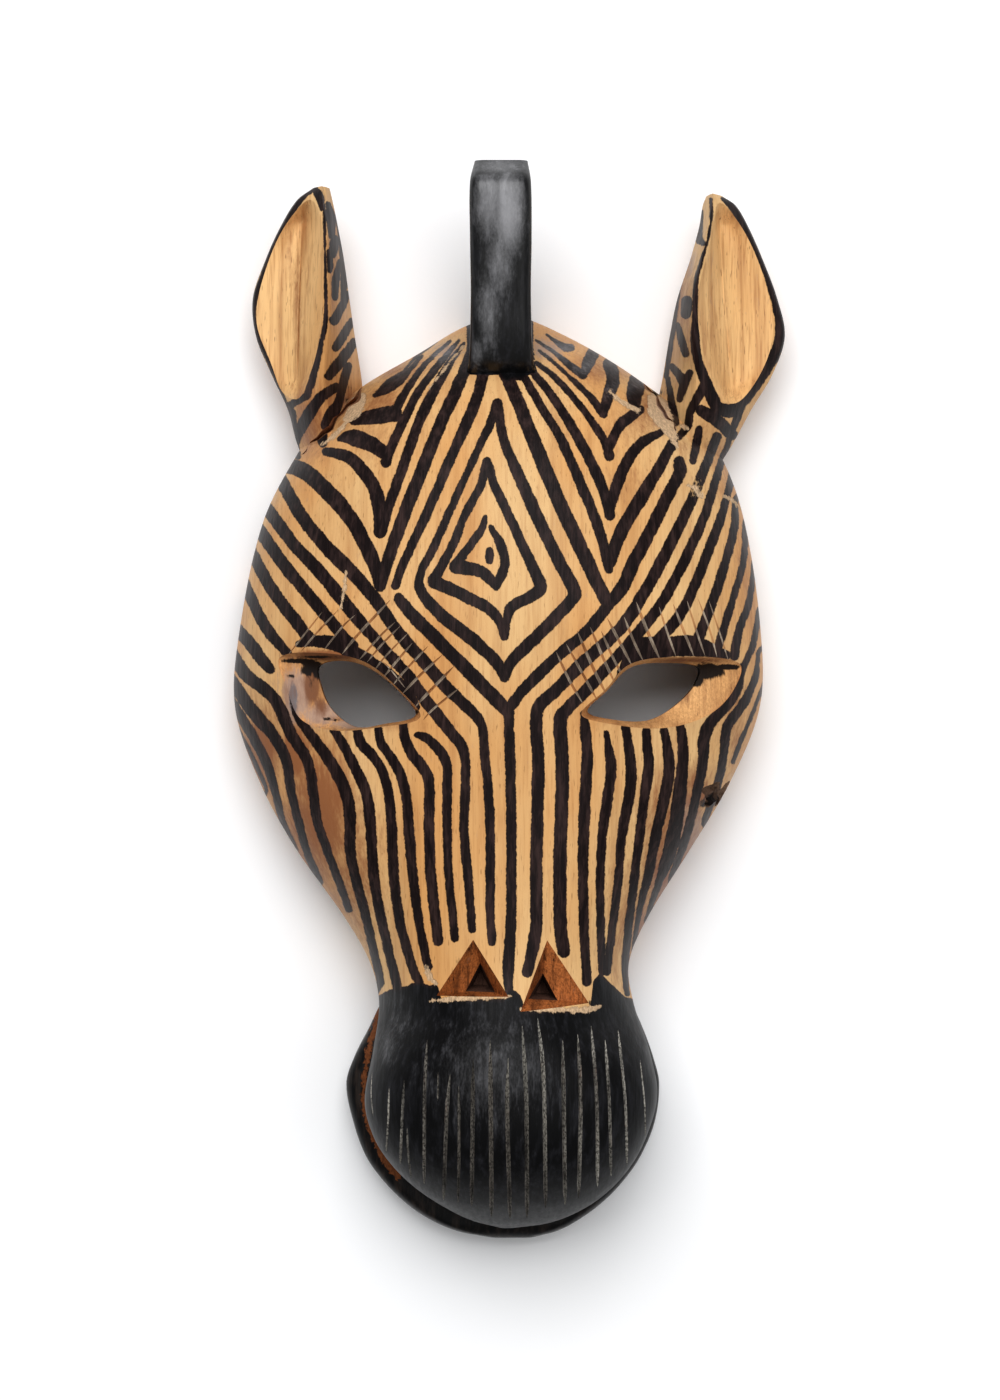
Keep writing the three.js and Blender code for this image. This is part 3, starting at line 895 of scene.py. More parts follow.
class Tree:
    """A Geometry Nodes tree under construction."""

    def __init__(self, name: str) -> None:
        """Starts an empty tree with a geometry input and output.

        Args:
            name: the tree's name.
        """
        self.tree = bpy.data.node_groups.new(name, "GeometryNodeTree")
        self.tree.interface.new_socket("Geometry", in_out="INPUT", socket_type="NodeSocketGeometry")
        self.tree.interface.new_socket("Geometry", in_out="OUTPUT", socket_type="NodeSocketGeometry")
        self.entry = self.tree.nodes.new("NodeGroupInput")
        self.exit = self.tree.nodes.new("NodeGroupOutput")

    def size(self, name: str, value: float) -> NodeSocket:
        """A named number among the tree's inputs, with its usual value.

        Args:
            name: the input's name.
            value: the usual value.

        Returns:
            The input's socket.
        """
        socket = self.tree.interface.new_socket(name, in_out="INPUT", socket_type="NodeSocketFloat")
        socket.default_value = value
        return self.entry.outputs[name]

    def finish_input(self) -> NodeSocket:
        """The material among the tree's inputs."""
        self.tree.interface.new_socket("Finish", in_out="INPUT", socket_type="NodeSocketMaterial")
        return self.entry.outputs["Finish"]

    def add(
        self, kind: str, values: dict[str | int, object], output: str | int = 0, **settings: object
    ) -> NodeSocket:
        """A node with its settings, and its sockets set or linked.

        Args:
            kind: the node's type.
            values: socket names or numbers with a value or a socket to link.
            output: which output is wanted.
            settings: the node's own properties, set first.

        Returns:
            The wanted output.
        """
        node = self.tree.nodes.new(kind)
        for key, value in settings.items():
            setattr(node, key, value)
        for key, value in values.items():
            if isinstance(value, NodeSocket):
                self.tree.links.new(value, node.inputs[key])
            else:
                node.inputs[key].default_value = value
        return node.outputs[output]

    def maths(self, operation: str, *values: object) -> NodeSocket:
        """Result of a Math node on numbers or sockets."""
        return self.add("ShaderNodeMath", dict(enumerate(values)), operation=operation)

    def apply(self, piece: Object, values: dict[str, object]) -> None:
        """Puts the tree on a piece, sets its inputs and turns the result into plain mesh.

        Args:
            piece: the piece.
            values: values by the names of the inputs.
        """
        change = piece.modifiers.new(self.tree.name, "NODES")
        change.node_group = self.tree
        for socket in self.tree.interface.items_tree:
            if socket.in_out == "INPUT" and socket.name in values:
                change[socket.identifier] = values[socket.name]
        settle(piece)


class BladeTree(Tree):
    """Sweeps a V blade along each path of edges, thin at both ends."""

    tip = 0.12  # the blade's size at a cut's ends

    def __init__(self) -> None:
        """Builds the tree: its sizes are in metres."""
        super().__init__("carver_blade")
        width, depth = self.size("Width", 0.001), self.size("Depth", 0.001)
        rise, taper = self.size("Rise", 0.001), self.size("Taper", 0.3)
        finish = self.finish_input()
        curve = self.add("GeometryNodeMeshToCurve", {"Mesh": self.entry.outputs["Geometry"]})
        outward = self.kept("outward", "FLOAT_VECTOR")
        turned = self.add("GeometryNodeSetCurveNormal", {"Curve": curve, "Normal": outward}, mode="FREE")
        along = self.add("GeometryNodeSplineParameter", {}, "Factor")
        from_end = self.maths("MINIMUM", along, self.maths("SUBTRACT", 1.0, along))
        full = self.maths("MINIMUM", self.maths("DIVIDE", from_end, taper), 1.0)
        swell = self.maths("MAXIMUM", self.maths("POWER", full, 0.6), self.tip)
        tall = self.maths("ADD", depth, rise)
        reach = self.maths("DIVIDE", tall, 1.5)  # a triangle's height to its radius
        over = self.maths("DIVIDE", rise, self.maths("MULTIPLY", depth, 2.0))
        flank = self.maths("MULTIPLY", width, self.maths("ADD", 0.5, over))
        half_side = self.maths("DIVIDE", flank, 0.866)  # a triangle's half side to its radius
        scale = self.add("ShaderNodeCombineXYZ", {"X": reach, "Y": half_side, "Z": 1.0})
        move = self.add("ShaderNodeCombineXYZ", {"X": self.maths("SUBTRACT", reach, depth)})
        corner = self.add("GeometryNodeCurvePrimitiveCircle", {"Resolution": 3, "Radius": 1.0}, "Curve")
        turn = (0.0, 0.0, math.pi)
        blade = self.add(
            "GeometryNodeTransform",
            {"Geometry": corner, "Translation": move, "Rotation": turn, "Scale": scale},
        )
        size = self.maths("MULTIPLY", swell, self.kept("girth", "FLOAT"))
        swept = self.add(
            "GeometryNodeCurveToMesh",
            {"Curve": turned, "Profile Curve": blade, "Scale": size, "Fill Caps": True},
        )
        real = self.add("GeometryNodeRealizeInstances", {"Geometry": swept})
        dressed = self.add("GeometryNodeSetMaterial", {"Geometry": real, "Material": finish})
        self.tree.links.new(dressed, self.exit.inputs[0])

    def kept(self, name: str, kind: str) -> NodeSocket:
        """What the path keeps at its points under a name."""
        return self.add("GeometryNodeInputNamedAttribute", {"Name": name}, data_type=kind)


class Photo:
    """Where the camera of the photo sees a point: the frame in which the stripes are painted."""

    distance = 1500.0  # millimetres from the flat back to the lens
    focal = 4771.0  # pixels
    centre_x = 507.0  # pixel of the face's midline
    centre_y = 700.0
    drop = 3.3  # millimetres between the lens's axis and the height of the eyes
    height = 1400

    @classmethod
    def pixel_size(cls, z: Array) -> Array:
        """Millimetres to a pixel at a height above the back."""
        return (cls.distance - z) / cls.focal

    @classmethod
    def pixels(cls, points: Array) -> Array:
        """Pixels at which points of the carver's frame are seen.

        Args:
            points: the points.

        Returns:
            x and y of each pixel.
        """
        size = cls.pixel_size(points[:, 2])
        across, up = points[:, 0] / size, (points[:, 1] - cls.drop) / size
        return np.column_stack([cls.centre_x + across, cls.centre_y - up])

    @classmethod
    def plan(cls, pixels: Array, head: Head) -> Array:
        """Places in plan at which pixels meet the face.

        Args:
            pixels: x and y of each pixel.
            head: the head that has the face.

        Returns:
            x and y of each place.
        """
        z = np.full(len(pixels), 60.0)
        for _ in range(5):
            size = cls.pixel_size(z)
            x = (pixels[:, 0] - cls.centre_x) * size
            y = (cls.centre_y - pixels[:, 1]) * size + cls.drop
            z = head.face_z(x, y)
        return np.column_stack([x, y])


# Points and widths in pixels of the photo. Many were taken over from a listing of the photo's dark bands,
# row by row, and then joined into strokes.
STRIPES: Strokes = {
    # The nested lozenge on the forehead, from its dot outwards.
    "dot": ((7, 9, 7), (488, 550, 488.5, 555, 488, 560)),
    "ring_1_left": ((5, 8, 8, 9, 11, 12, 11, 8), (
        484, 517, 480, 530, 469, 545, 459, 558, 453, 567, 466, 568, 480, 571, 490, 580, 495, 586,
    )),
    "ring_1_right": ((5, 9, 9, 10, 8), (490, 527, 499, 543, 504, 560, 501, 573, 495, 585)),
    "ring_2_left": ((9, 8, 8, 9, 12, 12, 11, 10, 8), (
        486, 461, 480, 484, 464, 514, 452, 544, 437, 572, 433, 582, 449, 588, 473, 600, 489, 609,
        499, 621, 504, 636,
    )),
    "ring_2_right": ((8, 9, 9, 11, 12, 11, 9, 8), (
        487, 462, 493, 484, 507, 513, 522, 546, 535, 574, 540, 587, 529, 597, 511, 606, 506, 620,
        504, 636,
    )),
    "ring_3_left": ((10, 8, 7, 8, 8, 9, 12, 13, 12, 10), (
        496, 403, 488, 426, 474, 455, 454, 499, 434, 544, 420, 571, 418, 585, 424, 597, 443, 617,
        469, 637, 495, 661, 504, 676,
    )),
    "ring_3_right": ((9, 9, 12, 12, 13, 12, 12, 12, 10), (
        497, 404, 502, 437, 515, 469, 535, 514, 557, 559, 572, 587, 573, 596, 555, 617, 527, 645,
        511, 662, 504, 677,
    )),
    # Arrowheads to the left of the lozenge.
    "left_arrow_1": ((11, 11, 10, 9, 8, 8), (
        484, 366, 477, 394, 465, 424, 451, 454, 432, 499, 411, 544, 399, 571, 394, 585,
    )),
    "left_arrow_2": ((10, 12, 12, 13, 12, 12), (
        473, 345, 460, 379, 439, 424, 421, 469, 403, 514, 387, 559, 379, 585,
    )),
    "left_arrow_3": ((3, 9, 10, 10, 10, 12), (
        463, 343, 448, 364, 431, 394, 417, 424, 401, 469, 387, 507, 380, 530,
    )),
    "left_arrow_3_barb": ((8, 11, 12, 13, 14, 13), (
        325, 451, 340, 454, 353, 461, 371, 483, 379, 509, 379, 531,
    )),
    "left_arrow_4": ((3, 7, 8, 9, 9, 10), (458, 340, 438, 364, 416, 394, 401, 424, 390, 447, 385, 462)),
    "left_arrow_4_barb": ((4, 12, 16, 16, 14, 12), (
        338, 439, 345, 437, 352, 437, 362, 440, 374, 446, 386, 454,
    )),
    "left_arrow_5": ((3, 4, 6, 8, 9), (449, 341, 424, 364, 403, 394, 393, 414)),
    "left_arrow_5_barb": ((7, 12, 15, 16), (352, 421, 362, 418, 374, 416, 393, 413)),
    "left_arrow_6": ((3, 5, 11, 13, 9, 4), (421, 355, 409, 369, 399, 378, 390, 384, 382, 390, 374, 395)),
    "left_arrow_7": ((2, 3, 2), (436, 341, 418, 354, 403, 370)),
    # Bands that run from behind the left eye up to the ear, and some on down the cheek.
    "left_band_1": ((15, 16, 16, 14, 14, 12), (
        287, 465, 302, 470, 319, 484, 347, 514, 364, 544, 376, 571, 379, 585,
    )),
    "left_band_2": ((12, 13, 14, 12, 12, 12, 11, 9, 9, 9, 9, 8), (
        280, 479, 299, 513, 323, 544, 353, 574, 375, 600, 396, 630, 422, 660, 449, 690, 466, 706,
        480, 721, 483, 735, 485, 760, 488, 790, 490, 830, 490, 910, 492, 942,
    )),
    "left_band_3": ((12, 12, 13, 11, 11, 12, 11, 9, 9, 9, 8), (
        267, 509, 293, 544, 321, 574, 354, 615, 380, 645, 407, 675, 429, 705, 453, 735, 464, 752,
        465, 790, 464, 830, 468, 880, 472, 929,
    )),
    "left_band_4": ((12, 12, 12, 11, 10), (261, 533, 279, 559, 303, 589, 325, 615, 341, 634, 353, 646)),
    "left_band_5": ((11, 12, 12, 11), (254, 558, 271, 589, 290, 614, 303, 631, 312, 641)),
    "left_band_6": ((10, 11, 11, 9), (245, 585, 258, 614, 273, 637, 287, 653)),
    "left_band_7": ((11, 12, 12, 9), (236, 628, 251, 645, 262, 660, 270, 669)),
    # Cheek lines on the left, from the outermost inwards.
    "left_cheek_1": ((3, 4, 3), (243, 738, 254, 760, 267, 790)),
    "left_cheek_2": ((9, 10, 9, 6, 4), (236, 708, 252, 735, 266, 762, 275, 790, 283, 822, 297, 852)),
    "left_cheek_3": ((12, 13, 10, 8, 6), (
        234, 684, 247, 704, 260, 720, 273, 735, 286, 760, 291, 790, 298, 820, 308, 855, 320, 882,
    )),
    "left_cheek_4": ((12, 12, 12, 10, 9, 7), (
        235, 658, 246, 675, 264, 689, 278, 704, 291, 734, 307, 760, 313, 790, 317, 820, 327, 850,
        349, 909,
    )),
    "left_cheek_5": ((5, 8, 11, 12, 10, 9, 7), (
        290, 678, 293, 697, 298, 717, 311, 735, 329, 760, 345, 790, 350, 820, 350, 850, 356, 880,
        365, 913, 375, 956, 381, 982,
    )),
    "left_cheek_6": ((8, 10, 11, 10, 9, 9), (
        334, 730, 346, 750, 365, 790, 370, 820, 374, 878, 382, 923, 393, 969, 397, 986,
    )),
    "left_cheek_7": ((9, 10, 9, 10, 10, 9, 9), (
        357, 730, 361, 744, 371, 754, 382, 771, 388, 792, 391, 820, 394, 878, 400, 923, 412, 966,
        419, 982,
    )),
    "left_cheek_8": ((8, 9, 10, 10, 10, 9, 8), (
        378, 729, 381, 743, 390, 756, 401, 776, 406, 796, 408, 820, 413, 877, 419, 923, 428, 967,
    )),
    "left_cheek_9": ((8, 10, 11, 10, 10, 10), (
        403, 724, 405, 739, 411, 753, 423, 768, 429, 783, 429, 820, 431, 880, 438, 941,
    )),
    "left_cheek_10": ((6, 9, 10, 9, 9, 8, 8), (
        417, 735, 425, 737, 435, 746, 446, 762, 447, 790, 447, 830, 449, 880, 455, 938,
    )),
    # The fork above the nose and its stem.
    "fork_left": ((10, 13, 13, 14, 12), (398, 598, 411, 614, 441, 644, 471, 674, 495, 699, 508, 712)),
    "fork_right": ((11, 11, 11, 10), (608, 604, 587, 630, 553, 660, 523, 690, 508, 710)),
    "fork_stem": ((10, 10, 10, 10, 11, 7), (508, 708, 510, 760, 511, 820, 511, 910, 508, 970, 509, 992)),
    # Arrowheads to the right of the lozenge.
    "right_arrow_1": ((13, 13, 14, 14, 14, 12), (
        503, 370, 514, 394, 532, 439, 557, 499, 578, 544, 592, 574, 607, 603,
    )),
    "right_arrow_2": ((8, 8, 9, 10, 10, 9), (521, 373, 542, 409, 560, 439, 580, 484, 598, 529, 608, 569)),
    "right_arrow_2_barb": ((12, 13, 13, 11, 10), (609, 562, 621, 529, 639, 499, 657, 469, 672, 442)),
    "right_arrow_3": ((7, 8, 10, 10, 10), (531, 371, 550, 394, 578, 439, 600, 484, 609, 515)),
    "right_arrow_3_barb": ((10, 11, 11, 10, 6), (609, 507, 621, 471, 638, 445, 661, 431)),
    "right_arrow_4": ((4, 6, 7, 8, 10), (535, 362, 556, 379, 582, 409, 602, 438, 608, 455)),
    "right_arrow_4_barb": ((10, 10, 11, 9), (608, 446, 619, 425, 639, 409)),
    "right_arrow_5": ((2, 3, 4, 7, 9), (538, 350, 556, 365, 587, 394, 602, 413)),
    "right_arrow_5_barb": ((8, 10, 12, 13, 13, 12), (
        602, 414, 605, 403, 609, 391, 612, 380, 611.5, 372, 608, 364,
    )),
    "right_arrow_6": ((2, 3, 7, 9), (535, 340, 552, 351, 569, 365, 582, 374)),
    "right_arrow_6_barb": ((8, 12, 12), (583, 373, 587, 363, 592, 353)),
    "right_arrow_7": ((2, 4, 8, 7), (546, 334, 556, 342, 565, 347, 570, 347)),
    "right_arrow_8": ((17, 17, 15, 12), (637, 380, 635, 388, 633, 396, 634, 402)),
    # Bands that run from behind the right eye up to the ear, and some on down the cheek.
    "right_band_1": ((12, 13, 13, 12, 12), (608, 603, 620, 589, 634, 559, 650, 529, 665, 499, 679, 472)),
    "right_band_1_end": ((11, 13, 12), (678, 461, 679, 466, 680, 470)),
    "right_band_2": ((9, 9, 11, 12, 12, 12, 12, 12, 12, 12, 12, 12, 10), (
        716, 436, 709, 454, 691, 499, 669, 544, 645, 589, 619, 629, 584, 661, 556, 690, 540, 705,
        536, 720, 538, 760, 537, 820, 536, 880, 536, 925, 532, 952, 527, 972,
    )),
    "right_band_3": ((5, 8, 10, 10, 11, 11, 12, 13, 13, 13, 13, 12), (
        727, 443, 718, 469, 704, 514, 684, 559, 660, 604, 640, 630, 614, 660, 586, 690, 566, 710,
        560, 722, 562, 760, 562, 790, 560, 850, 560, 920, 564, 952,
    )),
    "right_band_4": ((7, 9, 10, 11, 11, 10), (
        727, 492, 721, 514, 710, 544, 692, 589, 680, 613, 664, 633, 636, 659, 622, 672,
    )),
    "right_band_5": ((6, 8, 9, 10, 11), (734, 500, 733, 529, 721, 574, 707, 614, 697, 640)),
    "right_band_6": ((5, 6, 7, 8, 9), (744, 522, 743, 559, 732, 599, 723, 629, 717, 650)),
    "right_band_7": ((4, 6, 8, 9), (753, 562, 749, 599, 739, 629, 734, 656)),
    "right_band_8": ((5, 6, 8, 9, 12, 10, 9, 8, 5), (
        758, 610, 753, 644, 742, 670, 738, 688, 728, 705, 712, 721, 704, 738, 703, 762, 697, 792,
        690, 822, 681, 852, 670, 880,
    )),
    "right_band_9": ((3, 7, 9, 10, 8, 8, 6), (
        758, 652, 756, 674, 749, 693, 740, 709, 727, 727, 724, 750, 721, 770, 715, 792, 704, 822,
    )),
    "right_band_10": ((3, 4, 4), (760, 694, 750, 720, 741, 740, 733, 762)),
    # Cheek lines on the right, from the nose outwards.
    "right_cheek_0": ((6, 10, 11, 11, 10, 9, 9), (
        583, 713, 585, 728, 587, 755, 585, 797, 583, 850, 583, 900, 585, 945, 587, 982,
    )),
    "right_cheek_1": ((5, 9, 11, 10, 8, 8, 7), (
        606, 733, 609, 752, 611, 769, 608, 795, 602, 838, 600, 880, 601, 940, 602, 972,
    )),
    "right_cheek_2": ((8, 10, 11, 10, 8, 8, 7), (
        625, 727, 629, 750, 631, 772, 629, 797, 622, 832, 618, 880, 611, 938, 607, 972,
    )),
    "right_cheek_3": ((8, 10, 10, 9, 8, 7, 5), (
        646, 731, 648, 755, 648, 772, 643, 807, 635, 872, 629, 923, 625, 968, 627, 994,
    )),
    "right_cheek_4": ((8, 10, 11, 11, 10, 9, 6, 3), (
        664, 731, 668, 753, 669, 770, 664, 799, 655, 840, 648, 876, 640, 908, 633, 950,
    )),
    "right_cheek_5": ((4, 8, 9, 11, 13, 14, 14, 13, 7, 5, 4), (
        687, 719, 680, 724, 682, 735, 683, 761, 680, 790, 677, 815, 673, 838, 667, 860, 659, 882,
        652, 902, 646, 922,
    )),
    # The left ear's inner side and root.
    "left_ear_1": ((4, 9, 8, 6), (327, 203, 330, 218, 331, 236)),
    "left_ear_2": ((9, 10, 7), (334, 239, 333, 246, 332, 254)),
    "left_ear_3": ((5, 6, 5), (328, 251, 329, 261, 329, 270)),
    "left_ear_4": ((5, 7, 8, 6), (339, 261, 335, 280, 334, 297)),
    "left_ear_5": ((6, 8, 9), (347, 293, 340, 308, 333, 320)),
    "left_ear_6": ((7, 9, 8), (351, 321, 343, 334, 335, 347)),
    "left_ear_7": ((8, 10, 11, 9), (353, 342, 341, 359, 328, 375)),
    "left_ear_8": ((9, 10, 12, 11, 9), (335, 387, 322, 395, 313, 406, 305, 419, 297, 433, 292, 447)),
    "left_ear_9": ((8, 9, 8, 9, 14, 12), (347, 366, 343, 380, 340, 393, 337, 403, 331, 414, 326, 424)),
    "left_ear_10": ((8, 10, 8), (322, 435, 321, 439, 322, 443)),
    # The right ear's inner side and root.
    "right_ear_1": ((3, 8, 8, 5), (701, 211, 698, 224, 698, 238, 703, 243)),
    "right_ear_2": ((11, 12, 10), (686, 301, 686, 306, 685, 313)),
    "right_ear_3": ((4, 7, 8, 6), (677, 324, 681, 341, 685, 354)),
    "right_ear_4": ((6, 9, 8), (671, 366, 680, 377, 683, 384)),
    "right_ear_5": ((6, 8, 7), (689, 372, 683, 385, 679, 398)),
    "right_ear_6": ((4, 7, 8, 6), (667, 378, 671, 403, 675, 423)),
    "right_ear_7": ((9, 9, 8, 8, 7), (703, 385, 695, 400, 689, 413, 687, 425, 678, 436)),
    "right_ear_8": ((11, 13, 11), (700, 410, 715, 419, 731, 434)),
    "right_ear_9": ((7, 9, 7), (698, 429, 696, 441, 692, 460)),
    # Black lines round the ears' scoops.
    "left_ear_rim_top": ((5, 9, 10, 8, 7, 6, 5, 4.5, 4.5, 5, 5.5, 5, 4, 3, 3), (
        309, 191, 302, 194.5, 295.5, 201, 289.5, 212, 282.5, 226, 275.5, 241, 268.5, 257, 261.5, 275,
        256.5, 290, 253.5, 303, 252.5, 315, 255, 330, 262, 349, 273, 374, 285, 402,
    )),
    "left_ear_tip": ((7, 9, 7, 4), (315, 190, 318, 195, 320, 201, 321, 208)),
    "left_ear_rim_in": ((2.5, 2.5, 3, 4, 5), (323.5, 204, 324, 250, 325, 300, 324.5, 322, 321.5, 338)),
    "left_ear_rim_low": ((5, 6, 7, 7, 7, 6, 7, 8), (
        320, 340, 317, 357, 312.5, 375, 308.5, 388, 306, 395, 299, 399.5, 292, 403, 287, 409,
    )),
    "left_ear_back": ((2, 4, 6, 7, 5), (335, 212, 339, 235, 342, 260, 343, 285, 342, 300)),
    "left_ear_edge": ((7, 9, 5, 6), (286, 405, 291, 415, 294, 436, 297, 456)),
    "right_ear_rim": ((3, 9, 11, 9, 6, 7, 8, 9, 11, 12, 11, 10, 11, 11, 10, 10, 12, 13, 13), (
        721, 198, 731, 205, 739, 215, 746, 229, 752, 241, 757.5, 252, 763.5, 265, 769.5, 280, 774, 293,
        777.5, 306, 779.5, 320, 779, 338, 774, 354, 766.5, 367, 758, 380, 750, 391, 741, 401, 731, 410,
        719, 409,
    )),
    "right_ear_rim_in": ((3, 2.5, 2.5, 2.5, 3, 4, 5, 6), (
        710, 199, 710.5, 214, 708.5, 232, 705, 246, 700, 262, 696, 276, 694.5, 292, 694.5, 308,
    )),
    "right_ear_rim_low": ((6, 8, 9, 9, 9, 11, 12, 12), (
        694.5, 306, 695, 324, 694, 340, 695.5, 353, 699.5, 368, 705, 382, 710, 394, 715, 405,
    )),
    "right_ear_back": ((3, 5, 6, 6, 5, 4), (
        683, 262, 678.5, 281, 674.5, 306, 671.5, 330, 668.5, 352, 665.5, 376,
    )),
    # Black bands along the upper lids.
    "left_lid": ((6, 11, 14, 14, 13, 12, 12, 12, 7), (
        298, 644, 314, 641, 332, 643, 349, 650, 365, 659, 382, 670, 396, 681, 409, 695, 416, 707,
    )),
    "right_lid": ((5, 9, 17, 23, 22, 20, 20, 21, 18, 14, 9), (
        614, 685, 622, 674, 630, 661, 640, 649.5, 652, 648, 664, 647, 676, 646, 690, 645.5, 700, 647.5,
        711, 650, 726, 655.5,
    )),
}
SCRAPES: Strokes = {
    # Places where the stain is scraped off down to raw wood.
    "left_brow_scratch": ((1, 3, 3, 1), (345, 572, 343, 590, 340, 609)),
    "left_nostril_ledge": ((3, 5, 5, 3), (429, 1001, 450, 999, 480, 997, 509, 996)),
    "right_nostril_ledge": ((3, 6, 5, 7, 2), (521, 1010, 543, 1009, 566, 1010, 585, 1010, 601, 1006)),
    "crown_scratch": ((1, 2, 1), (463, 345, 447, 364, 428, 389)),
    "right_temple_chip": ((3, 5, 4), (688, 485, 694, 488, 700, 495)),
    "right_edge_nick": ((2, 3, 2), (722, 496, 727, 497, 731, 500)),
    "right_crown_chip": ((3, 4, 5, 4), (609, 391, 618, 399, 628, 406, 639, 410)),
    "left_cheek_nick": ((4, 6, 3), (426, 968, 429, 976, 436, 984)),
    "left_root_torn": ((8, 15, 15, 9), (361, 396, 357, 403, 352, 411, 347, 418)),
    "left_root_edge": ((4, 5, 5, 2), (346, 421, 339, 429, 331, 437, 321, 444)),
    "right_root_torn": ((12, 21, 20, 15, 8), (652, 399, 656, 406, 661, 415, 667, 426, 673, 437)),
    "right_root_nick": ((3, 5, 3), (681, 425, 684, 427, 687, 427)),
    "right_root_chip": ((3, 6, 3), (671, 441, 674, 443, 676, 447)),
}
JAW_SCRAPES: Strokes = {
    # The raw strip inside the jaw's edge, beside the muzzle.
    "jaw_left": ((4, 7, 6, 4, 5, 6, 8, 9, 4), (
        378, 1010, 374, 1030, 369, 1050, 365, 1075, 364, 1098, 369, 1122, 379, 1146, 392, 1168,
        402, 1182,
    )),
}


def smoothed(points: Sequence[float], many: int = 6) -> Array:
    """Curve through points of the photo, as short straight pieces.

    Args:
        points: x and y in turn of the knots.
        many: pieces from one knot to the next.

    Returns:
        The curve's points.
    """
    knots = np.array(points, dtype=float).reshape(-1, 2)
    if len(knots) < 3:
        return knots
    padded = np.vstack([2 * knots[0] - knots[1], knots, 2 * knots[-1] - knots[-2]])
    t = np.linspace(0.0, 1.0, many, endpoint=False)[:, None]
    pieces = []
    for a, b, c, d in zip(padded, padded[1:], padded[2:], padded[3:]):
        squared, cubed = 2 * a - 5 * b + 4 * c - d, 3 * b - a - 3 * c + d
        pieces.append(0.5 * (2 * b + (c - a) * t + squared * t**2 + cubed * t**3))
    return np.vstack([*pieces, knots[-1:]])


@dataclass
class Stroke:
    """One brush stroke: its path in the photo and its half width along it."""

    path: Array
    halves: Array

    def measure(self, pixels: Array, reach: float = 16.0) -> tuple[Array, Array]:
        """Where pixels lie against the stroke.

        Args:
            pixels: places in the photo.
            reach: the largest distance that matters.

        Returns:
            Which pixels are near, and for those how far they lie across the path, how far past its ends, and
            the half width there.
        """
        low, high = self.path.min(axis=0) - reach, self.path.max(axis=0) + reach
        near = np.flatnonzero(np.all((pixels > low) & (pixels < high), axis=1))
        at = pixels[near]
        best = np.full(len(near), 1e9)
        found = np.zeros((len(near), 3))
        last = len(self.path) - 2
        for i, (start, end) in enumerate(zip(self.path, self.path[1:])):
            way = end - start
            length = max(float(np.linalg.norm(way)), 1e-6)
            along = (at - start) @ way / length
            across = ((at - start) @ np.array([way[1], -way[0]])) / length
            short = np.minimum(along, 0.0)
            over = np.maximum(along - length, 0.0)
            distance = np.hypot(across, over - short)
            closer = distance < best
            past = np.zeros(len(near))
            if i == 0:
                past -= short
            if i == last:
                past += over
            inner = past == 0.0
            side = np.where(inner, np.sign(across) * distance, across)
            half = mix(self.halves[i], self.halves[i + 1], np.clip(along / length, 0.0, 1.0))
            found[closer] = np.column_stack([side, past, half])[closer]
            best[closer] = distance[closer]
        return near, found


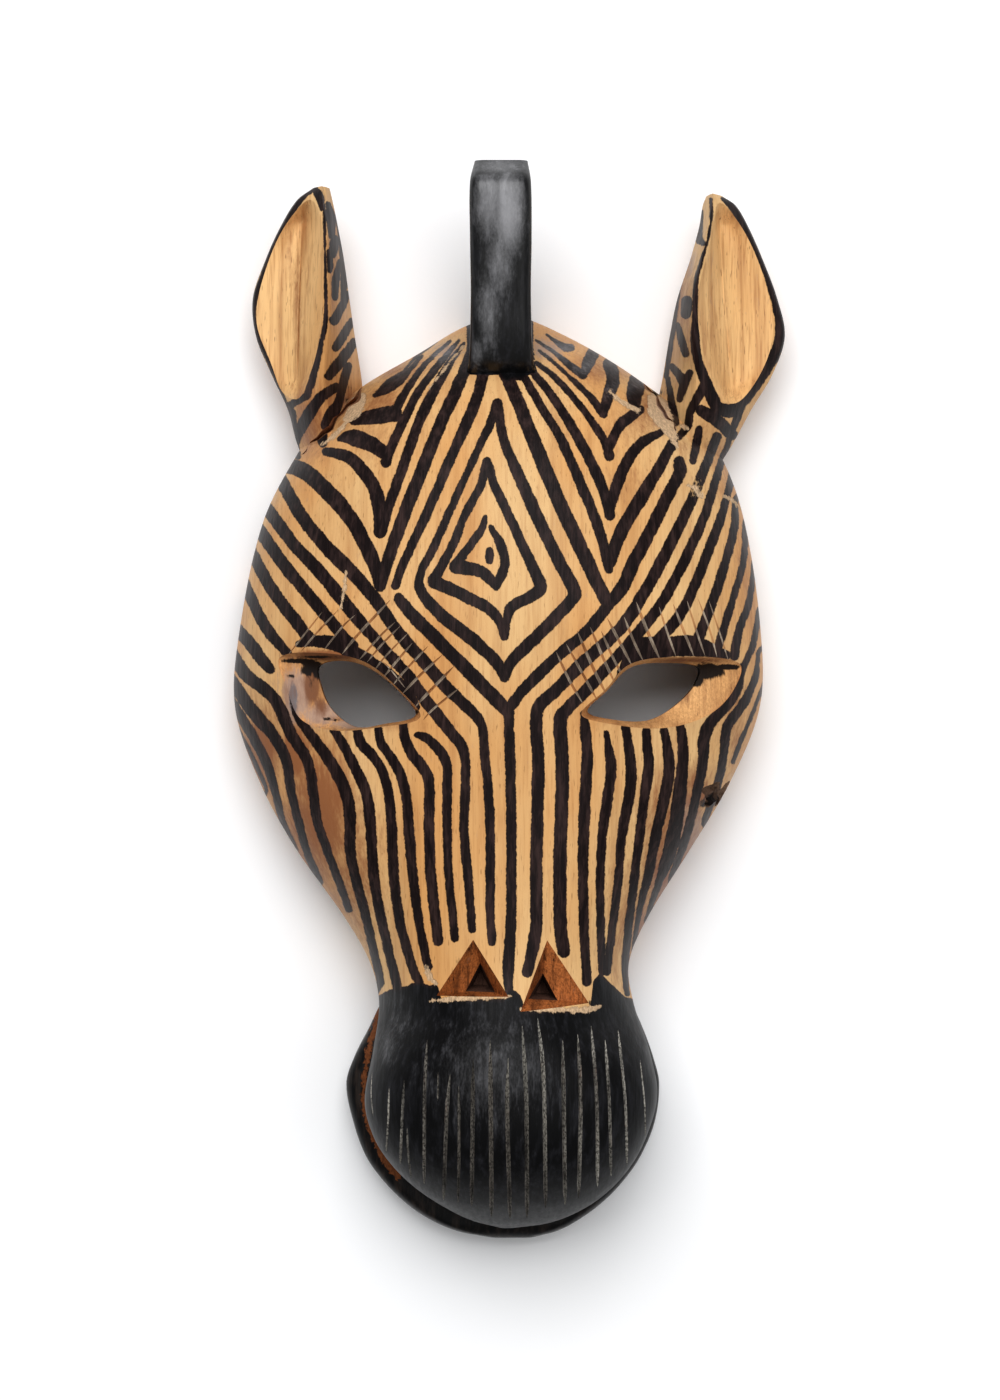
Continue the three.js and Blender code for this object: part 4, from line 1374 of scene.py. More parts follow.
class Painter:
    """Works out which brush strokes lie nearest to each face, and where its corners lie against them."""

    reading_shift = (0.9, 0.5)  # pixels by which the readings on the forehead lie up and to the left
    forehead_low = (560.0, 690.0)  # rows of pixels over which that shift fades
    outline_z = 15.0  # millimetres over the back at which the outline lies
    near_outline = 3.2  # millimetres from it within which a stroke runs on down the wall
    on_outline = 1.4  # millimetres from it within which a stroke also turns down
    walls = (-88.0, 84.0)  # the side walls, from the muzzle to the ears
    apart = 30.0  # pixels at which a stroke no longer counts

    def __init__(self, head: Head, mesh: Mesh, points: Array) -> None:
        """Reads the mesh and works out where its points are seen.

        Args:
            head: the head whose walls the strokes run down.
            mesh: the mesh to be painted.
            points: its points.
        """
        self.head = head
        self.corners = read(mesh.loops, "vertex_index", 1).astype(int).ravel()
        self.starts = read(mesh.polygons, "loop_start", 1).astype(int).ravel()
        self.totals = read(mesh.polygons, "loop_total", 1).astype(int).ravel()
        self.owner = np.repeat(np.arange(len(self.totals)), self.totals)
        self.pixels = Photo.pixels(points)
        self.flat = self.unrolled(points)
        self.extent = np.hypot(*(self.spread(self.flat[:, axis]) for axis in (0, 1)))

    def spread(self, values: Array) -> Array:
        """Largest difference between the corners of each face."""
        at = values[self.corners]
        return np.maximum.reduceat(at, self.starts) - np.minimum.reduceat(at, self.starts)

    def unrolled(self, points: Array) -> Array:
        """Pixels of points, with the head's steep walls laid out flat beside the face.

        Args:
            points: points of the carver's frame.

        Returns:
            x and y of each pixel.
        """
        pixels = Photo.pixels(points)
        x, y, z = points.T
        half = np.where(x < 0, self.head.left(y), self.head.right(y))
        slope = np.where(x < 0, -1.0, 1.0)
        down = np.clip(self.head.low(y) - z, 0.0, None) / Photo.pixel_size(z)
        near = smooth(0.8, 0.97, np.abs(x) / np.maximum(half, 1.0))
        pixels[:, 0] += slope * down * near
        return pixels

    def run_on(self, path: Array, length: float = 50.0) -> tuple[Array, int, int]:
        """A path made longer at an end that lies on the head's outline.

        Args:
            path: the stroke's path in the photo.
            length: by how many pixels it runs on down the wall.

        Returns:
            The path, and how many points it gained at its start and at its end.
        """
        gained = []
        size = Photo.pixel_size(self.outline_z)
        for tip, inner in ((path[0], path[2]), (path[-1], path[-3])):
            x = (tip[0] - Photo.centre_x) * size
            y = (Photo.centre_y - tip[1]) * size + Photo.drop
            inside = float((self.head.left if x < 0 else self.head.right)(y)) - abs(x)
            side = np.sign(x)
            way = (tip - inner) / np.linalg.norm(tip - inner)
            if inside < self.on_outline and way[0] * side < 0.3:
                way = way + np.array([side * 0.8, 0.0])
            out = inside < self.near_outline and way[0] * side > 0.1 and self.walls[0] < y < self.walls[1]
            gained.append([tip + way * length] if out else [])
        return np.vstack([*gained[0], path, *gained[1]]), len(gained[0]), len(gained[1])

    def stroke(self, name: str, widths: Sequence[float], points: Sequence[float]) -> Stroke:
        """One named stroke made ready to measure.

        Args:
            name: its name; one on an ear or the jaw stays as it is read.
            widths: its widths in pixels, evenly along it.
            points: x and y in turn of its points in the photo.

        Returns:
            The stroke.
        """
        path = smoothed(points)
        shares = np.linspace(0.0, 1.0, len(path))
        halves = np.interp(shares, np.linspace(0.0, 1.0, len(widths)), widths) / 2
        shift = 1.0 - smooth(*self.forehead_low, path[:, 1:])
        path = path + shift * np.array(self.reading_shift)
        if len(path) > 3 and "_ear" not in name and "jaw" not in name:
            path, before, after = self.run_on(path)
            usual = [halves.mean() * 0.9]
            halves = np.concatenate([usual] * before + [halves] + [usual] * after)
        return Stroke(path, halves)

    def nearest(self, strokes: Strokes, keep: int) -> list[Array]:
        """For each face its nearest strokes, as three numbers at each of its corners.

        Args:
            strokes: the named strokes.
            keep: how many strokes are kept for each face.

        Returns:
            For each stroke kept: across, past and half width at all corners.
        """
        nowhere = (self.apart, 0.0, 0.0)
        best = [np.full(len(self.totals), self.apart) for _ in range(keep)]
        kept = [np.tile(nowhere, (len(self.corners), 1)) for _ in range(keep)]
        whole = np.zeros((len(self.pixels), 3))
        for name, (widths, points) in strokes.items():
            places = self.pixels if "_ear" in name or "jaw" in name else self.flat
            near, found = self.stroke(name, widths, points).measure(places)
            whole[:] = nowhere
            whole[near] = found
            edge = np.hypot(whole[:, 0], whole[:, 1]) - whole[:, 2]
            mean = np.add.reduceat(edge[self.corners], self.starts) / self.totals
            here = whole[self.corners]
            beyond = (self.spread(whole[:, 0]) > self.extent * 1.2 + 0.2)[self.owner]
            here[beyond, 0] = np.abs(here[beyond, 0])  # a face on neither side of the stroke itself
            for rank in range(keep):
                better = mean < best[rank]
                if not better.any():
                    continue
                turned = better[self.owner]
                swap, best[rank][better] = best[rank][better].copy(), mean[better]
                moved, kept[rank][turned] = kept[rank][turned].copy(), here[turned]
                mean, here = mean.copy(), here.copy()
                mean[better], here[turned] = swap, moved
        return kept


class Value:
    """A shader socket that is reckoned with like a number."""

    def __init__(self, shade: "Shade", socket: NodeSocket) -> None:
        """Wraps a socket of one material."""
        self.shade, self.socket = shade, socket

    def __add__(self, other: "Value | float") -> "Value":
        """Sum."""
        return self.shade.maths("ADD", self, other)

    __radd__ = __add__

    def __sub__(self, other: "Value | float") -> "Value":
        """Difference."""
        return self.shade.maths("SUBTRACT", self, other)

    def __rsub__(self, other: float) -> "Value":
        """Difference from a number."""
        return self.shade.maths("SUBTRACT", other, self)

    def __mul__(self, other: "Value | float") -> "Value":
        """Product."""
        return self.shade.maths("MULTIPLY", self, other)

    __rmul__ = __mul__

    def __truediv__(self, other: "Value | float") -> "Value":
        """Quotient."""
        return self.shade.maths("DIVIDE", self, other)

    def above(self, low: float, high: float) -> "Value":
        """Smooth step from 0 at low to 1 at high; high may be the smaller.

        Args:
            low: the value that gives 0.
            high: the value that gives 1.

        Returns:
            The step.
        """
        return self.shade.node(
            "ShaderNodeMapRange", {"interpolation_type": "SMOOTHSTEP"},
            {"Value": self, "From Min": low, "From Max": high, "To Min": 0.0, "To Max": 1.0},
        )


Colour = tuple[float, float, float]


def colour(red: float, green: float, blue: float) -> Colour:
    """A colour as the eye names it, from 0 to 255, made linear."""
    shares = (channel / 255.0 for channel in (red, green, blue))
    return tuple(s / 12.92 if s <= 0.04045 else ((s + 0.055) / 1.055) ** 2.4 for s in shares)


class Shade:
    """A material under construction."""

    def __init__(self, name: str) -> None:
        """Starts a material with one principled shader.

        Args:
            name: the material's name.
        """
        self.material = bpy.data.materials.new(name)
        self.material.use_nodes = True
        self.tree = self.material.node_tree
        self.tree.nodes.clear()
        self.out = self.tree.nodes.new("ShaderNodeOutputMaterial")
        self.shader = self.tree.nodes.new("ShaderNodeBsdfPrincipled")
        self.tree.links.new(self.shader.outputs[0], self.out.inputs["Surface"])
        self.place = self.node("ShaderNodeTexCoord", output="Object")

    def set(self, socket: NodeSocket, value: "Value | Colour | float") -> None:
        """Links a value to a socket, or sets it there.

        Args:
            socket: the socket.
            value: the value.
        """
        if isinstance(value, Value):
            self.tree.links.new(value.socket, socket)
        elif socket.type == "RGBA":
            socket.default_value = (*value, 1.0)
        else:
            socket.default_value = value

    def node(
        self, kind: str, settings: dict[str, object] | None = None,
        values: dict[str | int, object] | None = None, output: str | int = 0,
    ) -> Value:
        """One output of a new node.

        Args:
            kind: the node's type.
            settings: its own properties, set before its sockets.
            values: numbers, colours or values for its sockets.
            output: which output is wanted.

        Returns:
            The output as a value.
        """
        made = self.tree.nodes.new(kind)
        for key, value in (settings or {}).items():
            setattr(made, key, value)
        for key, value in (values or {}).items():
            self.set(made.inputs[key], value)
        return Value(self, made.outputs[output])

    def maths(self, operation: str, first: "Value | float", second: "Value | float") -> Value:
        """Result of a Math node."""
        return self.node("ShaderNodeMath", {"operation": operation}, {0: first, 1: second})

    def blend(self, share: "Value | float", low: "Value | Colour", high: "Value | Colour") -> Value:
        """Colour between two; share is 0 for the first and 1 for the second."""
        settings = {"data_type": "RGBA", "blend_type": "MIX", "clamp_factor": True}
        return self.node("ShaderNodeMix", settings, {0: share, 6: low, 7: high}, output=2)

    def attribute(self, name: str) -> Value:
        """A number kept on the mesh."""
        return self.node("ShaderNodeAttribute", {"attribute_name": name}, output="Fac")

    def stroke(self, name: str) -> Value:
        """Signed distance to the edge of a brush stroke, kept on the mesh as across, past and half width.

        Args:
            name: the attribute's name.

        Returns:
            The distance, below zero inside the stroke.
        """
        at = self.node("ShaderNodeAttribute", {"attribute_name": name}, output="Vector")
        across, past, half = (self.node("ShaderNodeSeparateXYZ", {}, {0: at}, output=i) for i in range(3))
        return self.maths("SQRT", across * across + past * past, 0.0) - half

    def stretched(self, by: Triple) -> Value:
        """The place on the object, squeezed along each axis."""
        return self.node("ShaderNodeVectorMath", {"operation": "MULTIPLY"}, {0: self.place, 1: by})

    def noise(
        self, scale: float, stretch: Triple = EVEN, detail: float = 2.0, rough: float = 0.5
    ) -> Value:
        """Noise from about 0.2 to 0.8.

        Args:
            scale: lumps to the metre.
            stretch: less than 1 along an axis makes the lumps longer that way.
            detail: octaves.
            rough: strength of the finer octaves.

        Returns:
            The noise.
        """
        at = self.place if stretch == EVEN else self.stretched(stretch)
        values = {"Vector": at, "Scale": scale, "Detail": detail, "Roughness": rough}
        return self.node("ShaderNodeTexNoise", {}, values)

    def done(
        self, base: "Value | Colour", roughness: "Value | float", height: Value, depth: float
    ) -> Material:
        """Connects the shader.

        Args:
            base: the colour.
            roughness: the roughness.
            height: the relief.
            depth: what a height of 1 stands for, in metres.

        Returns:
            The finished material.
        """
        self.set(self.shader.inputs["Base Color"], base)
        self.set(self.shader.inputs["Roughness"], roughness)
        bump = self.node("ShaderNodeBump", {}, {"Height": height, "Distance": depth, "Strength": 1.0})
        self.set(self.shader.inputs["Normal"], bump)
        return self.material


class Surface(Enum):
    """The kinds of surface on the mask."""

    HEAD = "head_stained_stripes"
    EAR = "ear_stained_stripes"
    MANE = "mane_black_stain"
    JAW = "jaw_black_stain"
    SCOOP = "ear_scoop_bare_wood"
    CUT = "knife_cut_bare_wood"
    TORN = "torn_crevice_wood"
    NOSTRIL = "nostril_wall_wood"
    PIT = "nostril_pit_wood"
    SCORE = "brow_score_wood"
    FLUTE = "muzzle_flute_wood"
    MOUTH = "mouth_slit_wood"
    HOLLOW = "hollow_back_wood"
    CHIP = "chipped_edge_wood"


@dataclass(frozen=True)
class Wood:
    """Bare or waxed soft wood with its grain along the mask."""

    pale: Colour
    warm: Colour
    dark: Colour
    roughness: float
    fibre: float = 0.35
    pores: float = 0.5
    gloss: float = 0.1
    gouged: float = 0.0
    speckle: float = 0.0
    # burnished tone of handling, also laid as painted shade
    burnish_and_shade_brown: Colour = colour(134, 80, 48)
    # dusting grey, also laid as painted shade and as a pale painted reflection
    dust_and_painted_light_grey: Colour = colour(163, 137, 122)
    slate: Colour = colour(100, 103, 109)
    # painted shadow, near black
    painted_shadow_black: Colour = colour(17, 11, 9)

    def colour(self, shade: Shade) -> Value:
        """The wood's colour.

        Args:
            shade: the material under construction.

        Returns:
            The colour.
        """
        broad = shade.noise(28.0, (1.0, 0.35, 1.0), 3.0).above(0.34, 0.66)
        tone = shade.blend(broad, self.pale, self.warm)
        bands = shade.noise(260.0, GRAIN, 3.0, 0.6).above(0.42, 0.72)
        tone = shade.blend(bands * self.fibre, tone, self.dark)
        streaks = shade.noise(1500.0, GRAIN, 2.0, 0.6).above(0.45, 0.75)
        tone = shade.blend(streaks * self.fibre * 0.8, tone, self.dark)
        pores = shade.noise(2600.0, (1.0, 0.09, 0.5), 1.0).above(0.66, 0.76)
        tone = shade.blend(pores * self.pores, tone, tuple(c * 0.45 for c in self.dark))
        if self.speckle:
            specks = shade.noise(1900.0, (1.0, 0.55, 1.0), 3.0, 0.7).above(0.4, 0.62)
            tone = shade.blend(specks * self.speckle, tone, tuple(c * 0.7 for c in self.dark))
        return self.handled(shade, tone)

    def handled(self, shade: Shade, tone: Value) -> Value:
        """The tone with burnished tone, dusting, painted shade, painted reflection and painted shadow laid
        over it.

        Args:
            shade: the material under construction.
            tone: the colour of the wood.

        Returns:
            The colour.
        """
        mottled = shade.noise(120.0, (1.0, 0.28, 1.0), 4.0, 0.7) - 0.5
        fine = shade.noise(760.0, (1.0, 0.3, 1.0), 3.0, 0.7) - 0.5
        # Dusting greys on the left eye's bevel and the ears, with painted light in them: painted shade on
        # the right cheek's wall and a pale painted reflection on the crown beside the mane.
        dust_and_painted_light = shade.attribute("dust_and_painted_light") + fine * 0.7
        tone = shade.blend(dust_and_painted_light.above(0.06, 0.42) * 0.85, tone, self.dust_and_painted_light_grey)
        tone = shade.blend(dust_and_painted_light.above(0.62, 0.9) * 0.85, tone, self.slate)
        # Burnished tone of handling on the cheeks and at the ears' roots, with painted shade in the same
        # tone along the side walls and the right cheek's wall, round the lids and the eyes' corners and down
        # the flutes of the ears' scoops.
        burnish_and_shade_share = (shade.attribute("burnish_and_shade") + mottled * 1.1 + fine * 1.1).above(0.1, 1.25)
        tone = shade.blend(burnish_and_shade_share * 0.92, tone, self.burnish_and_shade_brown)
        # Painted shadow, near black, in the eyes' corners, under the lids, at the nostrils' tips, in the
        # chip and in the crevices at the ears' roots.
        painted_shadow = (shade.attribute("painted_shadow") + fine * 0.9).above(0.3, 0.62)
        return shade.blend(painted_shadow * 0.99, tone, self.painted_shadow_black)

    def height(self, shade: Shade) -> Value:
        """The wood's relief in tenths of a millimetre: its grain, and the facets the knife left.

        Args:
            shade: the material under construction.

        Returns:
            The relief.
        """
        facets = shade.noise(48.0, (1.0, 0.6, 1.0), 2.0) * (4.0 + 8.0 * self.gouged)
        gouges = shade.node(
            "ShaderNodeTexVoronoi", {"feature": "SMOOTH_F1"},
            {"Vector": shade.stretched((1.0, 0.42, 1.0)), "Scale": 130.0, "Smoothness": 0.25},
        )
        grain = shade.noise(1300.0, GRAIN, 3.0, 0.6) * (1.0 + self.gouged)
        return grain + facets + gouges * (9.0 * self.gouged)

    def build(self, name: str) -> Material:
        """The wood as a material of its own.

        Args:
            name: the material's name.

        Returns:
            The material.
        """
        shade = Shade(name)
        rough = shade.noise(900.0, GRAIN, 2.0) * 0.25 + (self.roughness - 0.12)
        shade.set(shade.shader.inputs["Specular IOR Level"], self.gloss)
        return shade.done(self.colour(shade), rough, self.height(shade), 0.0001)


@dataclass(frozen=True)
class Stain:
    """Black stain brushed on in stripes, or all over, with the wood showing through a little."""

    wood: Wood
    deep: Colour = colour(20, 13, 13)
    thin: Colour = colour(66, 48, 45)
    raw: Colour = colour(216, 182, 144)
    full_deep: Colour = colour(9, 9, 10)
    full_thin: Colour = colour(36, 36, 40)
    # painted highlight: the grey that the stain turns where a highlight or a glancing reflection is painted
    painted_sheen_grey: Colour = colour(150, 150, 153)
    bleed: float = 0.4
    scrape: str = "scrape"
    striped: bool = True
    edge: float = 0.5
    ragged: float = 2.6
    roughness: float = 0.42
    gloss: float = 0.06

    def cover(self, shade: Shade) -> Value:
        """Signed distance in pixels of the photo to the edge of the stain, below zero under it.

        Args:
            shade: the material under construction.

        Returns:
            The distance.
        """
        nearest = shade.attribute("zone")
        if self.striped:
            for rank in range(3):
                nearest = shade.maths("MINIMUM", nearest, shade.stroke(f"stroke_{rank}"))
        return nearest

    def build(self, name: str) -> Material:
        """The stained wood.

        Args:
            name: the material's name.

        Returns:
            The material.
        """
        shade = Shade(name)
        ragged = (shade.noise(1300.0, (1.0, 0.6, 1.0), 3.0, 0.7) - 0.5) * self.ragged
        wavy = (shade.noise(260.0, EVEN, 1.0) - 0.5) * 2.2
        ink = (self.cover(shade) + ragged + wavy - self.bleed).above(self.edge, -self.edge)
        brush = shade.noise(420.0, (1.0, 0.16, 1.0), 3.0, 0.7).above(0.42, 0.75)
        fibre = shade.noise(2400.0, GRAIN, 2.0, 0.6).above(0.5, 0.78)
        stain = shade.blend(brush * 0.6, self.deep, self.thin)
        stain = shade.blend(fibre * 0.25, stain, self.thin)
        solid = shade.attribute("zone").above(1.0, -5.0)
        ink = ink * (1.0 - shade.attribute("behind") * (1.0 - solid))
        stain = shade.blend(solid, stain, shade.blend(brush * 0.6, self.full_deep, self.full_thin))
        flecks = shade.noise(1700.0, (1.0, 0.4, 1.0), 3.0, 0.7)
        rubbed = (shade.attribute("worn") + (flecks - 0.5) * 1.5).above(0.46, 0.6)
        # Painted highlight: the stain turns grey on the mane's front and the muzzle's upper left, and a pale
        # painted reflection lies on the stripes beside the mane.
        painted_sheen = (shade.attribute("painted_sheen") + (brush - 0.4) * 0.16 + (flecks - 0.5) * 0.3).above(0.1, 1.1)
        stain = shade.blend(painted_sheen, stain, self.painted_sheen_grey)
        base = shade.blend(ink * (1.0 - rubbed * 0.6), self.wood.colour(shade), stain)
        lumps = (shade.noise(480.0, (1.0, 0.8, 1.0), 2.0) - 0.5) * 7.0
        scraped = (shade.stroke(self.scrape) + ragged * 2.2 + lumps).above(0.6, -0.6)
        torn = shade.blend(flecks.above(0.38, 0.62), tuple(c * 0.6 for c in self.raw), self.raw)
        base = shade.blend(scraped * 0.92, base, torn)
        rough = shade.noise(900.0, GRAIN, 2.0) * 0.22 + (self.roughness - 0.11) + scraped * 0.3
        shade.set(shade.shader.inputs["Specular IOR Level"], self.gloss)
        relief = self.wood.height(shade) + ink * 0.25 - scraped * flecks * 4.0
        return shade.done(base, rough, relief, 0.0001)


def finishes() -> dict[Surface, Material]:
    """Every finish of the mask, built once.

    Returns:
        The material of each surface.
    """
    waxed = Wood(colour(217, 177, 123), colour(206, 151, 92), colour(156, 99, 54), 0.42)
    scooped = Wood(colour(228, 185, 128), colour(214, 163, 103), colour(158, 106, 62), 0.5, 0.75, 0.7)
    knife = Wood(
        colour(226, 172, 112), colour(206, 146, 88), colour(140, 90, 54), 0.6, 0.5, 0.7, speckle=0.3,
        # also the painted shade on the eyes' bevels under the lids
        burnish_and_shade_brown=colour(112, 68, 42),
    )
    torn = Wood(
        colour(196, 150, 112), colour(160, 104, 70), colour(92, 54, 34), 0.85, 0.8, 0.9, speckle=0.6,
    )
    rust = Wood(
        colour(186, 108, 56), colour(146, 78, 34), colour(52, 24, 12), 0.7, 0.8, 1.0, 0.06, speckle=0.5,
    )
    pit = Wood(colour(84, 58, 48), colour(66, 45, 37), colour(36, 24, 20), 0.8, 0.6, 0.8, 0.05)
    chipped = Wood(
        colour(156, 126, 104), colour(116, 88, 68), colour(40, 28, 22), 0.85, 0.8, 1.0, 0.1, 1.0, 0.5,
        colour(84, 60, 46),
    )
    scratched = Wood(colour(200, 150, 100), colour(170, 116, 70), colour(104, 62, 34), 0.7, 0.6, 0.7, 0.1)
    flute = Wood(
        colour(186, 182, 172), colour(104, 99, 92), colour(20, 18, 18), 0.7, 0.8, 1.0, 0.1, speckle=0.9,
    )
    slit = Wood(colour(84, 54, 34), colour(60, 36, 24), colour(22, 15, 13), 0.75, 0.8, 0.9, 0.08)
    back = Wood(
        colour(230, 196, 156), colour(216, 174, 130), colour(150, 106, 72), 0.68, 0.5, 0.7, gouged=1.0,
    )
    striped = Stain(waxed)
    scored = Stain(
        scratched, deep=colour(120, 104, 90), thin=colour(210, 194, 172), gloss=0.08, roughness=0.7,
    )
    black = Stain(knife, striped=False, roughness=0.36, gloss=0.24)
    jaw = replace(
        black, full_thin=colour(54, 45, 40), raw=colour(124, 70, 38), scrape="jaw_scrape", ragged=4.6,
        gloss=0.1,
    )
    recipes = {
        Surface.HEAD: striped, Surface.EAR: striped, Surface.MANE: black, Surface.JAW: jaw,
        Surface.SCOOP: scooped, Surface.CUT: knife, Surface.TORN: torn, Surface.NOSTRIL: rust,
        Surface.PIT: pit, Surface.SCORE: scored, Surface.FLUTE: flute, Surface.MOUTH: slit,
        Surface.HOLLOW: back, Surface.CHIP: chipped,
    }
    return {surface: recipe.build(surface.value) for surface, recipe in recipes.items()}


@dataclass
class Grooves:
    """V cuts of one blade: rows of each cut's points in the photo, x and y in turn, and its girth."""

    rows: Rows
    width: float
    depth: float
    taper: float
    rise: float = 1.2
    step: float = 1.2

    def cutter(self, head: Head, tree: BladeTree, finish: Material) -> Object:
        """The blades along all cuts, as one mesh.

        Args:
            head: the head whose face the cuts follow.
            tree: the tree that sweeps the blade.
            finish: material of the cut faces.

        Returns:
            The cutter.
        """
        points, edges, outward, girths = [], [], [], []
        for *flat, girth in self.rows:
            path = Photo.plan(smoothed(flat), head)
            run = run_along(path)
            at = np.linspace(0.0, run[-1], max(int(run[-1] / self.step), 4))
            plan = np.column_stack([np.interp(at, run, path[:, k]) for k in (0, 1)])
            start = len(points)
            points += (head.on_face(plan) * MM).tolist()
            outward += head.face_normal(plan[:, 0], plan[:, 1]).tolist()
            girths += [girth] * len(plan)
            edges += [(start + i, start + i + 1) for i in range(len(plan) - 1)]
        mesh = bpy.data.meshes.new("blades")
        mesh.from_pydata(points, edges, [])
        store(mesh, "outward", np.array(outward))
        store(mesh, "girth", np.array(girths))
        piece = placed("blades", mesh)
        sizes = {"Width": self.width, "Depth": self.depth, "Rise": self.rise}
        values = {name: size * MM for name, size in sizes.items()}
        tree.apply(piece, {**values, "Taper": self.taper, "Finish": finish})
        return piece


FLUTES = Grooves(
    rows=(
        (372, 1072, 371, 1094, 373, 1116, 0.6), (389, 1086, 388, 1120, 386, 1152, 0.7),
        (404, 1080, 402, 1120, 400, 1164, 0.9), (407, 1128, 408, 1152, 411, 1178, 0.7),
        (427, 1040, 424.5, 1090, 424, 1184, 1), (438, 1072, 438, 1086, 437.5, 1101, 0.5),
        (450, 1074, 446.5, 1114, 443.5, 1200, 1.05), (458.5, 1086, 459, 1140, 458, 1203, 0.8),
        (473, 1058, 472.5, 1100, 471.5, 1206, 1.1), (490, 1040, 490.5, 1100, 491.5, 1217, 1.15),
        (508, 1058, 507, 1110, 510, 1219, 1.1), (522, 1026, 526, 1100, 527, 1218, 1.1),
        (537.5, 1018, 543.5, 1080, 545.5, 1208, 1.05), (562.5, 1040, 563.5, 1100, 565, 1205, 1.1),
        (577.5, 1034, 580.5, 1100, 578.5, 1198, 1.1), (591, 1026, 596.5, 1100, 597.5, 1187, 1.05),
        (605, 1040, 609, 1100, 611, 1176, 1), (618, 1030, 625, 1100, 627, 1165, 1),
        (640, 1060, 644.5, 1104, 645.5, 1137, 0.7),
    ),
    width=1.15, depth=0.75, taper=0.16,
)
LEFT_BROW = Grooves(
    rows=(
        (288, 655, 303, 636, 322, 612, 0.9), (300.5, 652, 315.5, 634, 338, 610, 1),
        (323, 651, 342, 627, 355, 615, 0.9), (342, 654, 357, 635.5, 390, 600, 1.3),
        (359, 660, 380, 636, 395, 622, 1), (367, 662, 383, 643, 400, 626, 0.9),
        (373, 672, 385.5, 656, 408, 633, 0.8), (383, 678, 390, 669, 412, 643, 1.1),
        (392, 686, 403.5, 672, 428, 646, 1), (402, 694, 419, 676, 442, 655, 1.2),
        (415, 707, 423, 698, 454, 666, 1.3), (423, 720, 433, 709, 459, 688, 1),
        (382, 661, 391, 670, 405, 688, 0.7),
    ),
    width=0.66, depth=0.5, taper=0.25,
)
RIGHT_BROW = Grooves(
    rows=(
        (583, 704, 569, 680, 556, 652, 1), (598, 702, 582, 673, 566, 644, 1),
        (608, 698, 592, 666, 577, 631, 1.2), (616, 686, 603, 658, 590, 627, 1.1),
        (624, 679, 612, 656, 601, 631, 1), (632, 666, 620, 643, 607, 618, 1.1),
        (643, 661, 633, 640, 624, 617, 1), (660, 660, 648, 633, 636, 602, 1.3),
        (676, 657, 667, 632, 659, 607, 0.9), (694, 657, 684, 632, 673, 604, 1.2),
        (705, 656, 696, 630, 687, 601, 1), (717, 657, 709, 628, 698, 599, 1),
        (729, 663, 720, 634, 709, 601, 0.9),
    ),
    width=0.78, depth=0.55, taper=0.25,
)


MUZZLE_EDGE: Rows = (
    (300, 1000), (378, 996), (390, 990), (407, 986), (418, 981), (430, 986), (437, 983), (441, 999),
    (505, 999), (508, 988), (517, 992), (522, 998), (524, 1011), (590, 1010), (593, 981), (600, 973),
    (612, 985), (625, 997), (640, 1001), (700, 1010),
)
MANE_FOOT: Rows = (
    (467, 360), (473, 362), (478, 367), (484, 369), (489, 373), (496, 369), (501, 376), (505, 384),
    (513, 380), (521, 381), (526, 377), (530, 371), (533, 373),
)
# Burnished tone of handling on the cheeks and at the ears' roots, and painted shade: darker along the side
# walls and the right cheek's wall, round the lids and the eyes' corners and down the flutes of the ears'
# scoops.
BURNISH_AND_SHADE_SPOTS: Rows = (
    (262, 748, 30, 60, 1.1), (320, 814, 38, 74, 1.4), (350, 885, 38, 76, 0.8), (290, 850, 34, 70, 1.0),
    (312, 420, 20, 42, 1.0), (340, 400, 22, 34, 1.0), (380, 402, 26, 22, 0.95), (400, 372, 34, 16, 0.85),
    (292, 690, 10, 34, 0.5), (694, 790, 20, 36, 1.1), (668, 850, 36, 100, 1.0), (640, 920, 36, 80, 0.8),
    (335, 250, 9, 90, 0.75), (684, 310, 14, 70, 0.75), (690, 440, 26, 34, 0.55), (640, 415, 34, 30, 0.75),
    (600, 370, 50, 18, 0.75), (372, 440, 28, 26, 0.55), (575, 655, 30, 30, 0.35), (720, 470, 16, 50, 0.5),
    (745, 600, 14, 90, 0.5), (735, 720, 18, 70, 0.65), (230, 640, 12, 90, 0.45), (395, 725, 44, 7, 0.5),
    (640, 724, 60, 7, 0.5), (326, 655, 36, 6, 1.7), (690, 660, 46, 4, 1.1), (312, 684, 8, 22, 1.8),
    (686, 696, 8, 14, 0.85), (706, 797, 15, 12, 1.4), (297, 300, 5, 60, 0.85), (290, 250, 4, 44, 0.6),
    (308, 270, 4, 50, 0.6), (265, 745, 16, 34, 1.6), (336, 800, 14, 44, 1.2), (321, 706, 7, 12, 1.3),
    (338, 719, 12, 4, 0.9), (295, 752, 14, 28, 1.9), (646, 408, 10, 20, 0.95), (350, 398, 9, 22, 1.1),
    (727, 320, 3, 60, 0.4), (620, 480, 40, 30, 0.35), (560, 420, 20, 40, 0.35), (598, 716, 22, 5, 0.7),
    (380, 470, 30, 24, 0.35), (430, 390, 26, 30, 0.3),
)
WORN_SPOTS: Rows = (
    (294, 692, 8, 24, 0.75), (345, 590, 8, 20, 0.4), (694, 487, 12, 12, 0.6), (352, 1072, 8, 40, 0.4),
)
